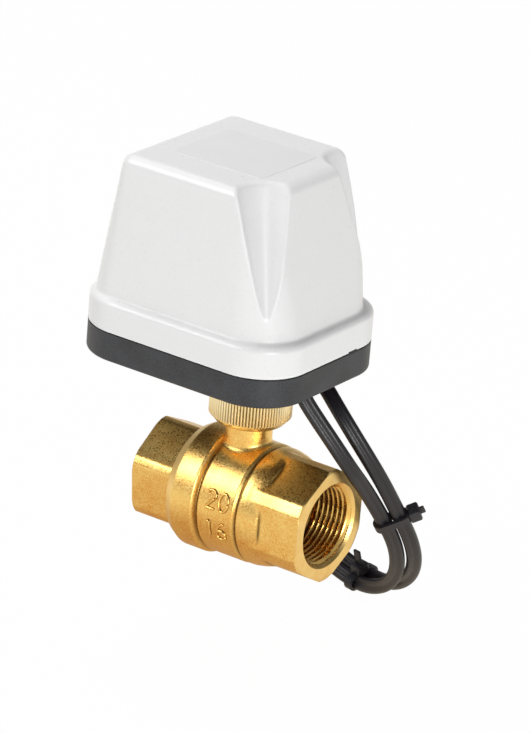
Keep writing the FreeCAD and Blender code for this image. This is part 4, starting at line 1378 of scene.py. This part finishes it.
    def level_rays(self, heights: Array, angles: Array) -> tuple[Array, Array]:
        """Level rays from the hub.

        Args:
            heights: Heights that they start at, a row for each.
            angles: Angles that they go at, a column for each.

        Returns:
            Their starts and their unit directions.
        """
        way = np.stack([np.cos(angles), np.sin(angles), 0 * angles], -1)[None]
        way = way + np.zeros((len(heights), 1, 1))
        start = np.zeros_like(way)
        start[..., 0] = self.hub_x
        start[..., 2] = heights[:, None]
        return start, way

    def ring(self, heights: Array, angles: Array) -> Array:
        """Points where level rays from the hub leave the cover, a row for each height."""
        return leave(self.field, *self.level_rays(heights, angles), self.reach)

    def turned_edge(self, ring: Array, inset: float, height: float, last: float, count: int) -> Array:
        """Rows over a round edge, by rays that turn from level to upright.

        Args:
            ring: The row of points below the edge.
            inset: How far inside that row the rays start.
            height: Height that they start from.
            last: Steepest ray, in degrees above level.
            count: Number of rows.

        Returns:
            The rows.
        """
        middle = np.array([self.hub_x, 0.0])
        flat = ring[:, :2] - middle
        far = np.hypot(flat[:, 0], flat[:, 1])[:, None]
        out = flat / far
        start = np.concatenate([middle + out * (far - inset), np.full((len(ring), 1), height)], -1)
        lift = np.radians(np.linspace(3.0, last, count))[:, None, None]
        way = np.concatenate([np.cos(lift) * out[None], np.sin(lift) + 0 * out[None, :, :1]], -1)
        return leave(self.field, start[None] + 0 * way, way, self.edge_reach)

    def shell(self) -> Skin:
        """Cover as one closed surface: up the outside to the middle of the top, then down the inside.

        Returns:
            The surface.
        """
        angles = self.angles()
        edge_foot = self.flange_top - self.flange_turn
        low = self.ring(spread((self.bottom + 0.25, edge_foot, 0.95)), angles)
        rim = low[:1].copy()
        rim[..., 2] = self.bottom
        rim[..., 0] += (self.hub_x - rim[..., 0]) * self.rim_tuck
        rim[..., 1] *= 1 - self.rim_tuck
        over = self.turned_edge(low[-1], self.flange_turn, edge_foot, 64.0, 16)
        head_foot = self.top - self.top_turn
        heights = spread((self.flange_top + 0.1, 66.5, 0.2), (66.5, 71.5, 0.8), (71.5, head_foot, 0.6))
        up = self.ring(heights, angles)
        head = self.turned_edge(up[-1], self.top_turn, head_foot, 90.0, 26)
        middle = np.array([self.hub_x, 0.0, head_foot])
        share = np.array([0.97, 0.93, 0.87, 0.78, 0.6, 0.3, 0.0])[:, None, None]
        below = middle + (head[-1][None] - middle) * share
        below[..., 2] = head_foot
        flat = leave(self.field, below, np.array([0.0, 0.0, 1.0]) + 0 * below, self.edge_reach)
        rows = [rim, low, over, up, head, flat, self.inside(angles)]
        return Skin(np.concatenate(rows), round_rows=True)

    def inside(self, angles: Array) -> Array:
        """Rows of the inner wall from the top's middle down to the rim, one wall inside the outer face.

        Args:
            angles: Angles of the columns.

        Returns:
            The rows.
        """
        middle = np.array([[[self.hub_x, 0.0, self.top - self.wall]]]) + np.zeros((1, len(angles), 1))

        def hollow(p: Array) -> Array:
            """Distance outside the hollow."""
            return self.fluted(self.plain_side(p), p) + self.wall

        heights = np.array([self.top - self.wall, 106.0, 98.0, 88.0, 78.0, 70.0, self.bottom])
        return np.concatenate([middle, leave(hollow, *self.level_rays(heights, angles), self.reach)])

    def build(self) -> None:
        """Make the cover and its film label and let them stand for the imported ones."""
        piece = write_mesh("cover_shell", [self.shell()], (COVER_ABS,), crease=80)
        place(piece, Body.ACTUATOR, "cover_white", "cover")
        middle = (self.centre_x + self.top_shift, 0.0)
        size = (self.label_length, self.label_width)
        span = (self.top - self.label_sunk, self.top + self.label_proud)
        label = rounded_slab(
            "film_label", middle, size, self.label_corner_r, *span, self.thin_edge, LABEL_FILM
        )
        place(label, Body.ACTUATOR, "label_grey", "label")
        # Painted shade: a thin dark rubber slab on the rim stands in for the shaded latch notch at the joint
        measures = (self.tab_middle, self.tab_size, self.tab_corner_r, *self.tab_span, self.thin_edge)
        tab = rounded_slab("notch_shade_tab", *measures, NITRILE)
        place(tab, Body.ACTUATOR, "seal_rubber")


def slab_skin(
    centre: Sequence[float], size: Sequence[float], r: float, low: float, high: float, edge: float
) -> Skin:
    """Upright prism on a rectangle with round corners and bevelled edges.

    The outline's points are the corner centres plus r times cosine and sine, drawn in by the edge's width at
    both ends.

    Args:
        centre: Middle in X and Y.
        size: Length and width.
        r: Corner radius.
        low: Height of the lower face.
        high: Height of the upper face.
        edge: Width of the bevel.

    Returns:
        The surface.
    """
    angles, sign_x, sign_y = corner_turns(8)
    pole = (0.0, 0.0)
    rows = []
    for height, (keep, inset) in (
        (low, pole),
        (low, (1.0, edge)),
        (low + edge, (1.0, 0.0)),
        (high - edge, (1.0, 0.0)),
        (high, (1.0, edge)),
        (high, pole),
    ):
        x = sign_x * (size[0] / 2 - r) + (r - inset) * np.cos(angles)
        y = sign_y * (size[1] / 2 - r) + (r - inset) * np.sin(angles)
        rows.append(np.stack([centre[0] + keep * x, centre[1] + keep * y, height + 0 * x], -1))
    return Skin(np.array(rows))


def rounded_slab(
    name: str,
    centre: Sequence[float],
    size: Sequence[float],
    r: float,
    low: float,
    high: float,
    edge: float,
    finish: Finish,
) -> bpy.types.Object:
    """Make one bevelled slab as an object, from slab_skin's measures."""
    return write_mesh(name, [slab_skin(centre, size, r, low, high, edge)], (finish,), crease=40)


# Cable


@dataclass
class FlatCable:
    """Flat twin cable: its route, its two-lobed section and the direction that its wide face looks.

    The route's points were listed one by one: from the base down past the outlet, up behind the valve, and
    down again beside the first strand. ties gives each tie's name, the numbers of the two route points that it
    holds together, whether its head sits beside them, and how far its cut strap stands out.
    """

    route: tuple[tuple[float, float, float], ...] = (
        (51.9, -5.2, 47.8),
        (53.5, -4.1, 41.7),
        (57.4, -2.3, 35.8),
        (63.5, 0.2, 27.7),
        (68.2, 4.6, 18.6),
        (68.6, 11.0, 11.7),
        (68.9, 17.0, 4.8),
        (69.8, 24.5, -5.1),
        (69.5, 31.8, -14.5),
        (67.3, 38.2, -23.5),
        (63.0, 44.3, -32.2),
        (56.1, 49.8, -39.7),
        (47.7, 54.1, -44.4),
        (39.3, 57.8, -46.3),
        (32.2, 59.3, -45.5),
        (20.3, 60.1, -41.7),
        (7.4, 58.5, -32.6),
        (-4.8, 49.6, -9.1),
        (-0.8, 36.7, 15.6),
        (8.9, 28.5, 28.3),
        (18.1, 24.0, 34.4),
        (27.0, 21.5, 37.8),
        (36.5, 19.0, 40.0),
        (45.5, 15.0, 40.4),
        (51.6, 11.8, 39.1),
        (57.6, 9.8, 35.0),
        (63.2, 10.2, 28.8),
        (68.4, 13.3, 20.1),
        (70.7, 16.3, 14.3),
        (72.4, 20.5, 7.3),
        (73.4, 27.3, -2.8),
        (73.6, 34.8, -13.1),
        (71.1, 42.4, -23.3),
        (65.5, 49.8, -32.8),
        (57.0, 56.7, -40.7),
        (48.6, 60.8, -44.4),
        (40.6, 62.7, -44.6),
        (33.5, 63.2, -43.4),
        (26.5, 64.0, -41.2),
        (18.5, 65.4, -37.5),
        (11.8, 66.6, -33.4),
    )
    width: float = 5.0
    thickness: float = 2.9
    length: float = 444.0
    web_blend: float = 0.55
    core_offset: float = 1.2
    exit: tuple[float, float, float] = (52.6, -4.7, 43.6)
    faces_way: tuple[float, float, float] = (0.519, -0.768, 0.374)
    ties: tuple[tuple[str, int, int, bool, float], ...] = (
        ("front", 7, 30, True, 1.6),
        ("rear", 13, 36, False, 5.0),
    )

    def line(self) -> Array:
        """Points along the smooth line through the route, read from its own spline.

        Returns:
            Points in millimetres.
        """
        curve = bpy.data.curves.new("cable_line", "CURVE")
        curve.dimensions = "3D"
        curve.resolution_u = 10
        spline = curve.splines.new("NURBS")
        spline.points.add(len(self.route) - 1)
        spots = np.array([(x * MM, y * MM, z * MM, 1.0) for x, y, z in self.route], np.float32)
        spline.points.foreach_set("co", spots.ravel())
        spline.order_u = 3
        spline.use_endpoint_u = True
        holder = bpy.data.objects.new("cable_line", curve)
        bpy.context.scene.collection.objects.link(holder)
        bpy.context.view_layer.update()
        mesh = bpy.data.meshes.new_from_object(holder)
        spots = np.empty(len(mesh.vertices) * 3, np.float32)
        mesh.vertices.foreach_get("co", spots)
        bpy.data.meshes.remove(mesh)
        bpy.data.objects.remove(holder)
        bpy.data.curves.remove(curve)
        line = spots.reshape(-1, 3).astype(float) / MM
        keep = np.concatenate([[True], np.linalg.norm(np.diff(line, axis=0), axis=1) > 1e-3])
        return line[keep]

    def frames(self, line: Array) -> tuple[Array, Array, Array]:
        """Directions along, across and out of the wide face at each point of the line.

        The face looks one way as far as the line allows: that direction less its share along the line, evened
        out over neighbours.

        Args:
            line: Points along the cable.

        Returns:
            Unit vectors along, across and out.
        """
        along = np.gradient(line, axis=0)
        along /= np.linalg.norm(along, axis=1, keepdims=True)
        look = np.array(self.faces_way)
        out = look - along * (along @ look)[:, None]
        near, width = 18, 7.0
        bell = np.exp(-0.5 * (np.arange(-near, near + 1) / width) ** 2)
        padded = np.concatenate([np.repeat(out[:1], near, 0), out, np.repeat(out[-1:], near, 0)])
        out = np.stack([np.convolve(padded[:, k], bell / bell.sum(), "valid") for k in range(3)], -1)
        out -= along * np.sum(out * along, axis=1, keepdims=True)
        out /= np.linalg.norm(out, axis=1, keepdims=True)
        return along, np.cross(along, out), out

    def section(self) -> Array:
        """Outline of two round cores side by side in one sheath: two circles with a soft web between them.

        It is found by rays from the middle, which are crowded towards the lobes.

        Returns:
            Points across and out.
        """
        lobe_r = self.thickness / 2
        offset = self.width / 2 - lobe_r

        def field(p: Array) -> Array:
            """Distance outside the outline."""
            lobes = [np.hypot(p[..., 0] + side * offset, p[..., 1]) - lobe_r for side in (-1, 1)]
            return soft_min(*lobes, self.web_blend)

        angles = full_turn(44)
        crowding = 0.62
        bent = np.arctan2(np.sin(angles) * crowding, np.cos(angles))
        way = np.stack([np.cos(bent), np.sin(bent)], -1)
        return leave(field, np.zeros_like(way), way, 4)

    def skin(self, line: Array) -> Skin:
        """Sheath: the section carried along the line on its frames, closed at both ends.

        Args:
            line: Points along the cable.

        Returns:
            The surface.
        """
        _, across, out = self.frames(line)
        outline = self.section()
        rows = line[:, None, :] + across[:, None, :] * outline[None, :, :1]
        rows = rows + out[:, None, :] * outline[None, :, 1:]
        ends = [np.repeat(line[i][None], len(outline), 0)[None] for i in (0, -1)]
        return Skin(np.concatenate([ends[0], rows, ends[1]]))

    def build(self, nodes: dict[str, bpy.types.Object]) -> None:
        """Make the cable with its ties, grommet and bare ends.

        Args:
            nodes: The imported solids.
        """
        line = self.line()
        sheath = write_mesh("flat_twin_cable", [self.skin(line)], (SHEATH_PVC,), crease=60)
        place(sheath, Body.ACTUATOR, "cable_black", "cable")
        frames = self.frames(line)
        for name, out_at, back_at, on_end, stub in self.ties:
            strands = (self.route[out_at], self.route[back_at])
            tie = CableTie(name, on_end, stub).build(line, frames, strands, self)
            place(tie, Body.ACTUATOR, "tie_black", "cable_tie_" + name)
        grommet = smooth_copy("rubber_grommet", nodes["cable_grommet"], NITRILE)
        place(grommet, Body.ACTUATOR, "seal_rubber", "cable_grommet")
        cores = self.bare_ends()
        place(cores, Body.ACTUATOR, "core_tinned", "cable_ends")

    def bare_ends(self) -> bpy.types.Object:
        """Two cores past the sheath's end, each an insulated length and a tinned tip.

        Returns:
            The two cores as one object.
        """
        way = np.array(self.route[-1]) - np.array(self.route[-2])
        way /= np.linalg.norm(way)
        side = np.cross(way, [0.0, 0.0, 1.0])
        side /= np.linalg.norm(side)
        lift = np.cross(side, way)
        turn = full_turn(20)
        outline = np.cos(turn)[:, None] * side + np.sin(turn)[:, None] * lift
        # Way past the sheath's end, and radius
        insulation = [(0, 0), (0, 1.0), (12.7, 1.0), (13.0, 0.9)]
        tip = [(13.0, 0.5), (15.0, 0.52), (18.4, 0.5), (19.0, 0.3), (19.0, 0)]
        profile = np.array(insulation + tip)
        skins = []
        for hand in (-1, 1):
            foot = np.array(self.route[-1]) + side * (hand * self.core_offset)
            rows = foot + profile[:, :1, None] * way + profile[:, 1:, None] * outline[None]
            skins.append(Skin(rows, slots=np.repeat([0, 1], [len(insulation), len(tip)])))
        return write_mesh("bare_cores", skins, (SHEATH_PVC, TINNED_COPPER), crease=40)


@dataclass
class CableTie:
    """Band round two strands with a locking head and the cut end of its strap.

    The head sits beside the strands where head_at_end is true, and otherwise behind their wide faces. slack
    is the room between strands and band.
    """

    name: str
    head_at_end: bool
    stub: float
    slack: float = 0.12
    head_gap: float = 0.3
    band_width: float = 3.2
    band_thickness: float = 1.0
    head: tuple[float, float, float] = (3.8, 5.0, 4.6)

    def build(
        self,
        line: Array,
        frames: tuple[Array, Array, Array],
        strands: Sequence[Sequence[float]],
        cable: FlatCable,
    ) -> bpy.types.Object:
        """Make the tie in its own axes and set it on the strands.

        Args:
            line: Points along the cable.
            frames: Its directions along, across and out.
            strands: Route points of the outgoing and of the returning strand.
            cable: The cable, for its section.

        Returns:
            The tie.
        """
        spots = [int(np.argmin(np.linalg.norm(line - np.array(p), axis=1))) for p in strands]
        a, b = line[spots[0]], line[spots[1]]
        along = frames[0][spots[0]] + frames[0][spots[1]]
        along /= np.linalg.norm(along)
        across = b - a
        across -= along * (across @ along)
        half = np.linalg.norm(across) / 2
        across /= 2 * half
        out = np.cross(along, across)
        if out @ (frames[2][spots[0]] + frames[2][spots[1]]) < 0 and self.head_at_end:
            out = -out
        centre = (a + b) / 2
        axes = np.stack([across, out, along])
        skins = [self.band(half, cable), *self.locking_head(half, cable)]
        for skin in skins:
            skin.points = centre + skin.points @ axes
        return write_mesh("nylon_tie_" + self.name, skins, (TIE_NYLON,), crease=40)

    def band(self, half: float, cable: FlatCable) -> Skin:
        """Strap: a rounded strip section carried round a rectangle with round corners.

        Each row lies at a lift out from the corners' arcs and a place across the strap.

        Args:
            half: Half the distance between the strands' middles.
            cable: The cable, for its section.

        Returns:
            The surface.
        """
        half_x = half + cable.width / 2 + self.slack
        half_y = cable.thickness / 2 + self.slack
        r = half_y - 0.05
        angle, sign_x, sign_y = corner_turns(10)
        centre_x = sign_x * (half_x - r)
        centre_y = sign_y * (half_y - r)
        # Share of the thickness, and of half the width to either side, at each corner of the strap's section
        strip = np.array([(0, -1), (0, 1), (0.25, 1), (1, 0.86), (1, -0.86), (0.25, -1)])
        reach = r + strip[:, :1] * self.band_thickness
        side = strip[:, 1:] * self.band_width / 2 + 0 * angle
        rows = np.stack([centre_x + reach * np.cos(angle), centre_y + reach * np.sin(angle), side], -1)
        return Skin(rows, round_rows=True)

    def locking_head(self, half: float, cable: FlatCable) -> list[Skin]:
        """Head as a bevelled block with the cut strap standing out of it.

        Args:
            half: Half the distance between the strands' middles.
            cable: The cable, for its section.

        Returns:
            The two surfaces.
        """
        height, wide, deep = self.head
        blocks = [
            slab_skin((0, 0), (wide, deep), r=0.9, low=0.0, high=height, edge=0.4),
            slab_skin(
                (0, 0),
                (self.band_thickness, self.band_width - 0.4),
                r=0.3,
                low=height - 0.5,
                high=height + self.stub,
                edge=0.2,
            ),
        ]
        for block in blocks:
            x, y, z = np.moveaxis(block.points, -1, 0)
            if self.head_at_end:
                block.points = np.stack([z + half + cable.width / 2 + self.head_gap, x, y], -1)
            else:
                block.points = np.stack([x, -z - cable.thickness / 2 - self.head_gap, y], -1)
        return blocks


# Stage


def stand(item: bpy.types.Object, right: Array, up: Array, back: Array, spot: Sequence[float]) -> None:
    """Set a camera or a lamp on its axes and link it.

    Args:
        item: The object.
        right: Direction of its right side.
        up: Direction of its upper side.
        back: Direction that it looks away from.
        spot: Its place in metres.
    """
    rows = [(right[k], up[k], back[k], spot[k]) for k in range(3)]
    item.matrix_world = Matrix(rows + [(0.0, 0.0, 0.0, 1.0)])
    bpy.context.scene.collection.objects.link(item)


@dataclass(frozen=True)
class Lamp:
    """Square soft lamp: its place and size in metres, its power in watts, and what it is there for.

    lights is false where it only gives reflections, and reflects is false where it only gives light.
    """

    name: str
    spot: tuple[float, float, float]
    size: float
    power: float
    lights: bool = True
    reflects: bool = True
    aim: tuple[float, float, float] = (0.03, 0.0, 0.04)

    def hang(self) -> None:
        """Hang the lamp so that it looks at the middle of the object."""
        data = bpy.data.lights.new(self.name, "AREA")
        data.size = self.size
        data.energy = self.power
        made = bpy.data.objects.new(self.name, data)
        back = np.array(self.spot) - np.array(self.aim)
        back = back / np.linalg.norm(back)
        side = np.cross([0.0, 0.0, 1.0], back)
        side /= np.linalg.norm(side)
        stand(made, side, np.cross(back, side), back, self.spot)
        made.visible_diffuse = self.lights
        made.visible_glossy = self.reflects


# The photograph's light: soft from the left front, a gleam there on brass and plastic, a low light from the
# right, and a broad light overhead that leaves the edges on the right dark
LAMPS = (
    Lamp("key_lamp", (-0.56, -0.92, 0.76), 0.7, 2.6),
    Lamp("sheen_lamp", (-0.52, -0.86, 0.78), 0.7, 5.4, lights=False),
    Lamp("side_lamp", (1.0, -0.62, 0.20), 0.4, 6.0),
    Lamp("top_lamp", (-0.52, 0.05, 1.20), 0.7, 12.4, reflects=False),
)


@dataclass(frozen=True)
class Studio:
    """Floor, world and camera.

    The camera's angles are degrees, its distance and offset millimetres. table_near and table_far are the
    floor's colours in reflections, which run from the one to the other over shade_reach: table_near is a
    painted shadow, darker and warmer, round the object. seen_share says how much of the floor glows for the
    camera and for gloss, and diffuse_share how much for matt surfaces.
    room_level is the world's strength for matt surfaces, and card_level its strength in reflections at the
    lower and the upper end of card_span, which are upward parts of a ray's unit direction.
    """

    azimuth: float = 34.063
    elevation: float = 21.966
    roll: float = 4.770
    distance: float = 1462.524
    focal_px: float = 4658.503
    offset: tuple[float, float] = (-6.918, -40.364)
    stem_x: float = 32.0
    picture_px: int = 733
    sensor_mm: float = 36.0
    clip: tuple[float, float] = (0.05, 30.0)
    paper_colour: str = "#f4f4f4"
    floor_z: float = -50.6
    floor_half: float = 6.0
    shade_reach: tuple[float, float] = (50.0, 150.0)
    seen_share: float = 0.98
    diffuse_share: float = 0.96
    room_level: float = 0.17
    card_level: tuple[float, float] = (0.50, 0.04)
    card_span: tuple[float, float] = (0.15, 0.75)
    table_near: tuple[float, float, float, float] = (0.56, 0.38, 0.22, 1.0)
    table_far: tuple[float, float, float, float] = (1.0, 0.97, 0.88, 1.0)
    white: tuple[float, float, float, float] = (1.0, 1.0, 1.0, 1.0)

    def camera(self) -> None:
        """Set the camera where the photograph was taken from.

        The view's axes come from azimuth and elevation and are turned by the roll. The place is the distance
        along the view, less the two offsets.
        """
        a = math.radians(self.azimuth)
        e = math.radians(self.elevation)
        r = math.radians(self.roll)
        back = np.array([math.sin(a) * math.cos(e), -math.cos(a) * math.cos(e), math.sin(e)])
        right = np.array([math.cos(a), math.sin(a), 0.0])
        up = np.cross(back, right)
        right, up = math.cos(r) * right + math.sin(r) * up, math.cos(r) * up - math.sin(r) * right
        spot = back * self.distance - right * self.offset[0] - up * self.offset[1]
        spot += np.array([self.stem_x, 0, 0])
        data = bpy.data.cameras.new("camera")
        data.sensor_fit = "AUTO"
        data.sensor_width = self.sensor_mm
        data.lens = self.sensor_mm * self.focal_px / self.picture_px
        data.clip_start, data.clip_end = self.clip
        made = bpy.data.objects.new("camera", data)
        stand(made, right, up, back, spot * MM)
        bpy.context.scene.camera = made

    def paper(self) -> bpy.types.Material:
        """Make the table's white.

        The camera sees plain white with a trace of shadow. Matt surfaces get the light of an evenly lit
        table. Glossy ones see a painted shadow, a warm dark round the object that fades to white further out.

        Returns:
            The material.
        """
        made = bpy.data.materials.new("paper_floor")
        made.use_nodes = True
        tree = made.node_tree
        tree.nodes.clear()
        paper = add_node(tree, "BsdfDiffuse", {"Color": linear(self.paper_colour)})
        rays = add_node(tree, "LightPath").outputs
        place = add_node(tree, "TexCoord").outputs["Object"]
        apart = add_node(tree, "VectorMath", {"operation": "LENGTH"}, {0: place}).outputs["Value"]
        # Painted shadow seen in reflections: the table darkens and warms towards the object
        near, far = (reach * MM for reach in self.shade_reach)
        away = add_node(
            tree, "MapRange", {"From Min": near, "From Max": far}, {"Value": apart}
        ).outputs["Result"]
        table = add_node(
            tree,
            "Mix",
            {"data_type": "RGBA", COLOUR_A: self.table_near, COLOUR_B: self.table_far},
            {SHARE: away},
        ).outputs[MIXED_COLOUR]
        colour = add_node(
            tree,
            "Mix",
            {"data_type": "RGBA", COLOUR_A: self.white},
            {SHARE: rays["Is Glossy Ray"], COLOUR_B: table},
        ).outputs[MIXED_COLOUR]
        glow = add_node(tree, "Emission", {"Strength": 1.0}, {"Color": colour})
        seen = add_node(
            tree, "Math", {"operation": "MAXIMUM"}, {0: rays["Is Camera Ray"], 1: rays["Is Glossy Ray"]}
        ).outputs[0]
        lit = add_node(
            tree, "Math", {"operation": "MULTIPLY", 1: self.diffuse_share}, {0: rays["Is Diffuse Ray"]}
        ).outputs[0]
        share = add_node(
            tree, "Math", {"operation": "MULTIPLY_ADD", 1: self.seen_share}, {0: seen, 2: lit}
        ).outputs[0]
        both = add_node(tree, "MixShader", None, {0: share, 1: paper.outputs[0], 2: glow.outputs[0]})
        add_node(tree, "OutputMaterial", None, {"Surface": both.outputs[0]})
        return made

    def floor(self) -> None:
        """Lay a wide white table below the cable."""
        half, z = self.floor_half, self.floor_z * MM
        mesh = bpy.data.meshes.new("floor")
        corners = [(-half, -half, z), (half, -half, z), (half, half, z), (-half, half, z)]
        mesh.from_pydata(corners, [], [(0, 1, 2, 3)])
        mesh.materials.append(self.paper())
        floor = bpy.data.objects.new("floor", mesh)
        bpy.context.scene.collection.objects.link(floor)

    def world(self) -> None:
        """Hang white behind the object, an even dim room for matt surfaces, and a darkening one for gloss."""
        world = bpy.data.worlds.new("room")
        bpy.context.scene.world = world
        world.use_nodes = True
        tree = world.node_tree
        tree.nodes.clear()
        place = add_node(tree, "TexCoord").outputs["Generated"]
        height = add_node(tree, "SeparateXYZ", None, {"Vector": place}).outputs["Z"]
        rays = add_node(tree, "LightPath").outputs
        low, high = self.card_span
        low_level, high_level = self.card_level
        card = add_node(
            tree,
            "MapRange",
            {"From Min": low, "From Max": high, "To Min": low_level, "To Max": high_level},
            {"Value": height},
        ).outputs["Result"]
        room = add_node(
            tree,
            "Mix",
            {"data_type": "FLOAT", NUMBER_A: self.room_level},
            {SHARE: rays["Is Glossy Ray"], NUMBER_B: card},
        ).outputs[0]
        strength = add_node(
            tree, "Mix", {"data_type": "FLOAT", NUMBER_B: 1.0}, {SHARE: rays["Is Camera Ray"], NUMBER_A: room}
        ).outputs[0]
        shade = add_node(tree, "Background", {"Color": self.white}, {"Strength": strength})
        add_node(tree, "OutputWorld", None, {"Surface": shade.outputs[0]})

    def build(self) -> None:
        """Set up everything that isn't part of the object."""
        bpy.context.scene.view_settings.view_transform = "Standard"
        self.camera()
        self.floor()
        self.world()
        for lamp in LAMPS:
            lamp.hang()


def dress_nodes(nodes: dict[str, bpy.types.Object]) -> None:
    """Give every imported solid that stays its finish.

    Args:
        nodes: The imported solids.
    """
    for finish, names in NODE_FINISHES.items():
        for name in names:
            mesh = nodes[name].data
            mesh.materials.clear()
            mesh.materials.append(finish.material())


def main() -> None:
    """Load the frame, build every assembly and set the stage."""
    logging.basicConfig(level=logging.INFO, format="%(name)s: %(message)s")
    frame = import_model()
    nodes = frame["nodes"]
    dress_nodes(nodes)
    FlatCable().build(nodes)
    ValveBody().build()
    EndAdapter().build()
    UnionNut().build()
    Cover().build()
    base = smooth_copy("housing_tray", nodes["housing_base"], BASE_NYLON)
    place(base, Body.ACTUATOR, "base_black", "housing_base")
    Studio().build()


if __name__ == "__main__":
    main()
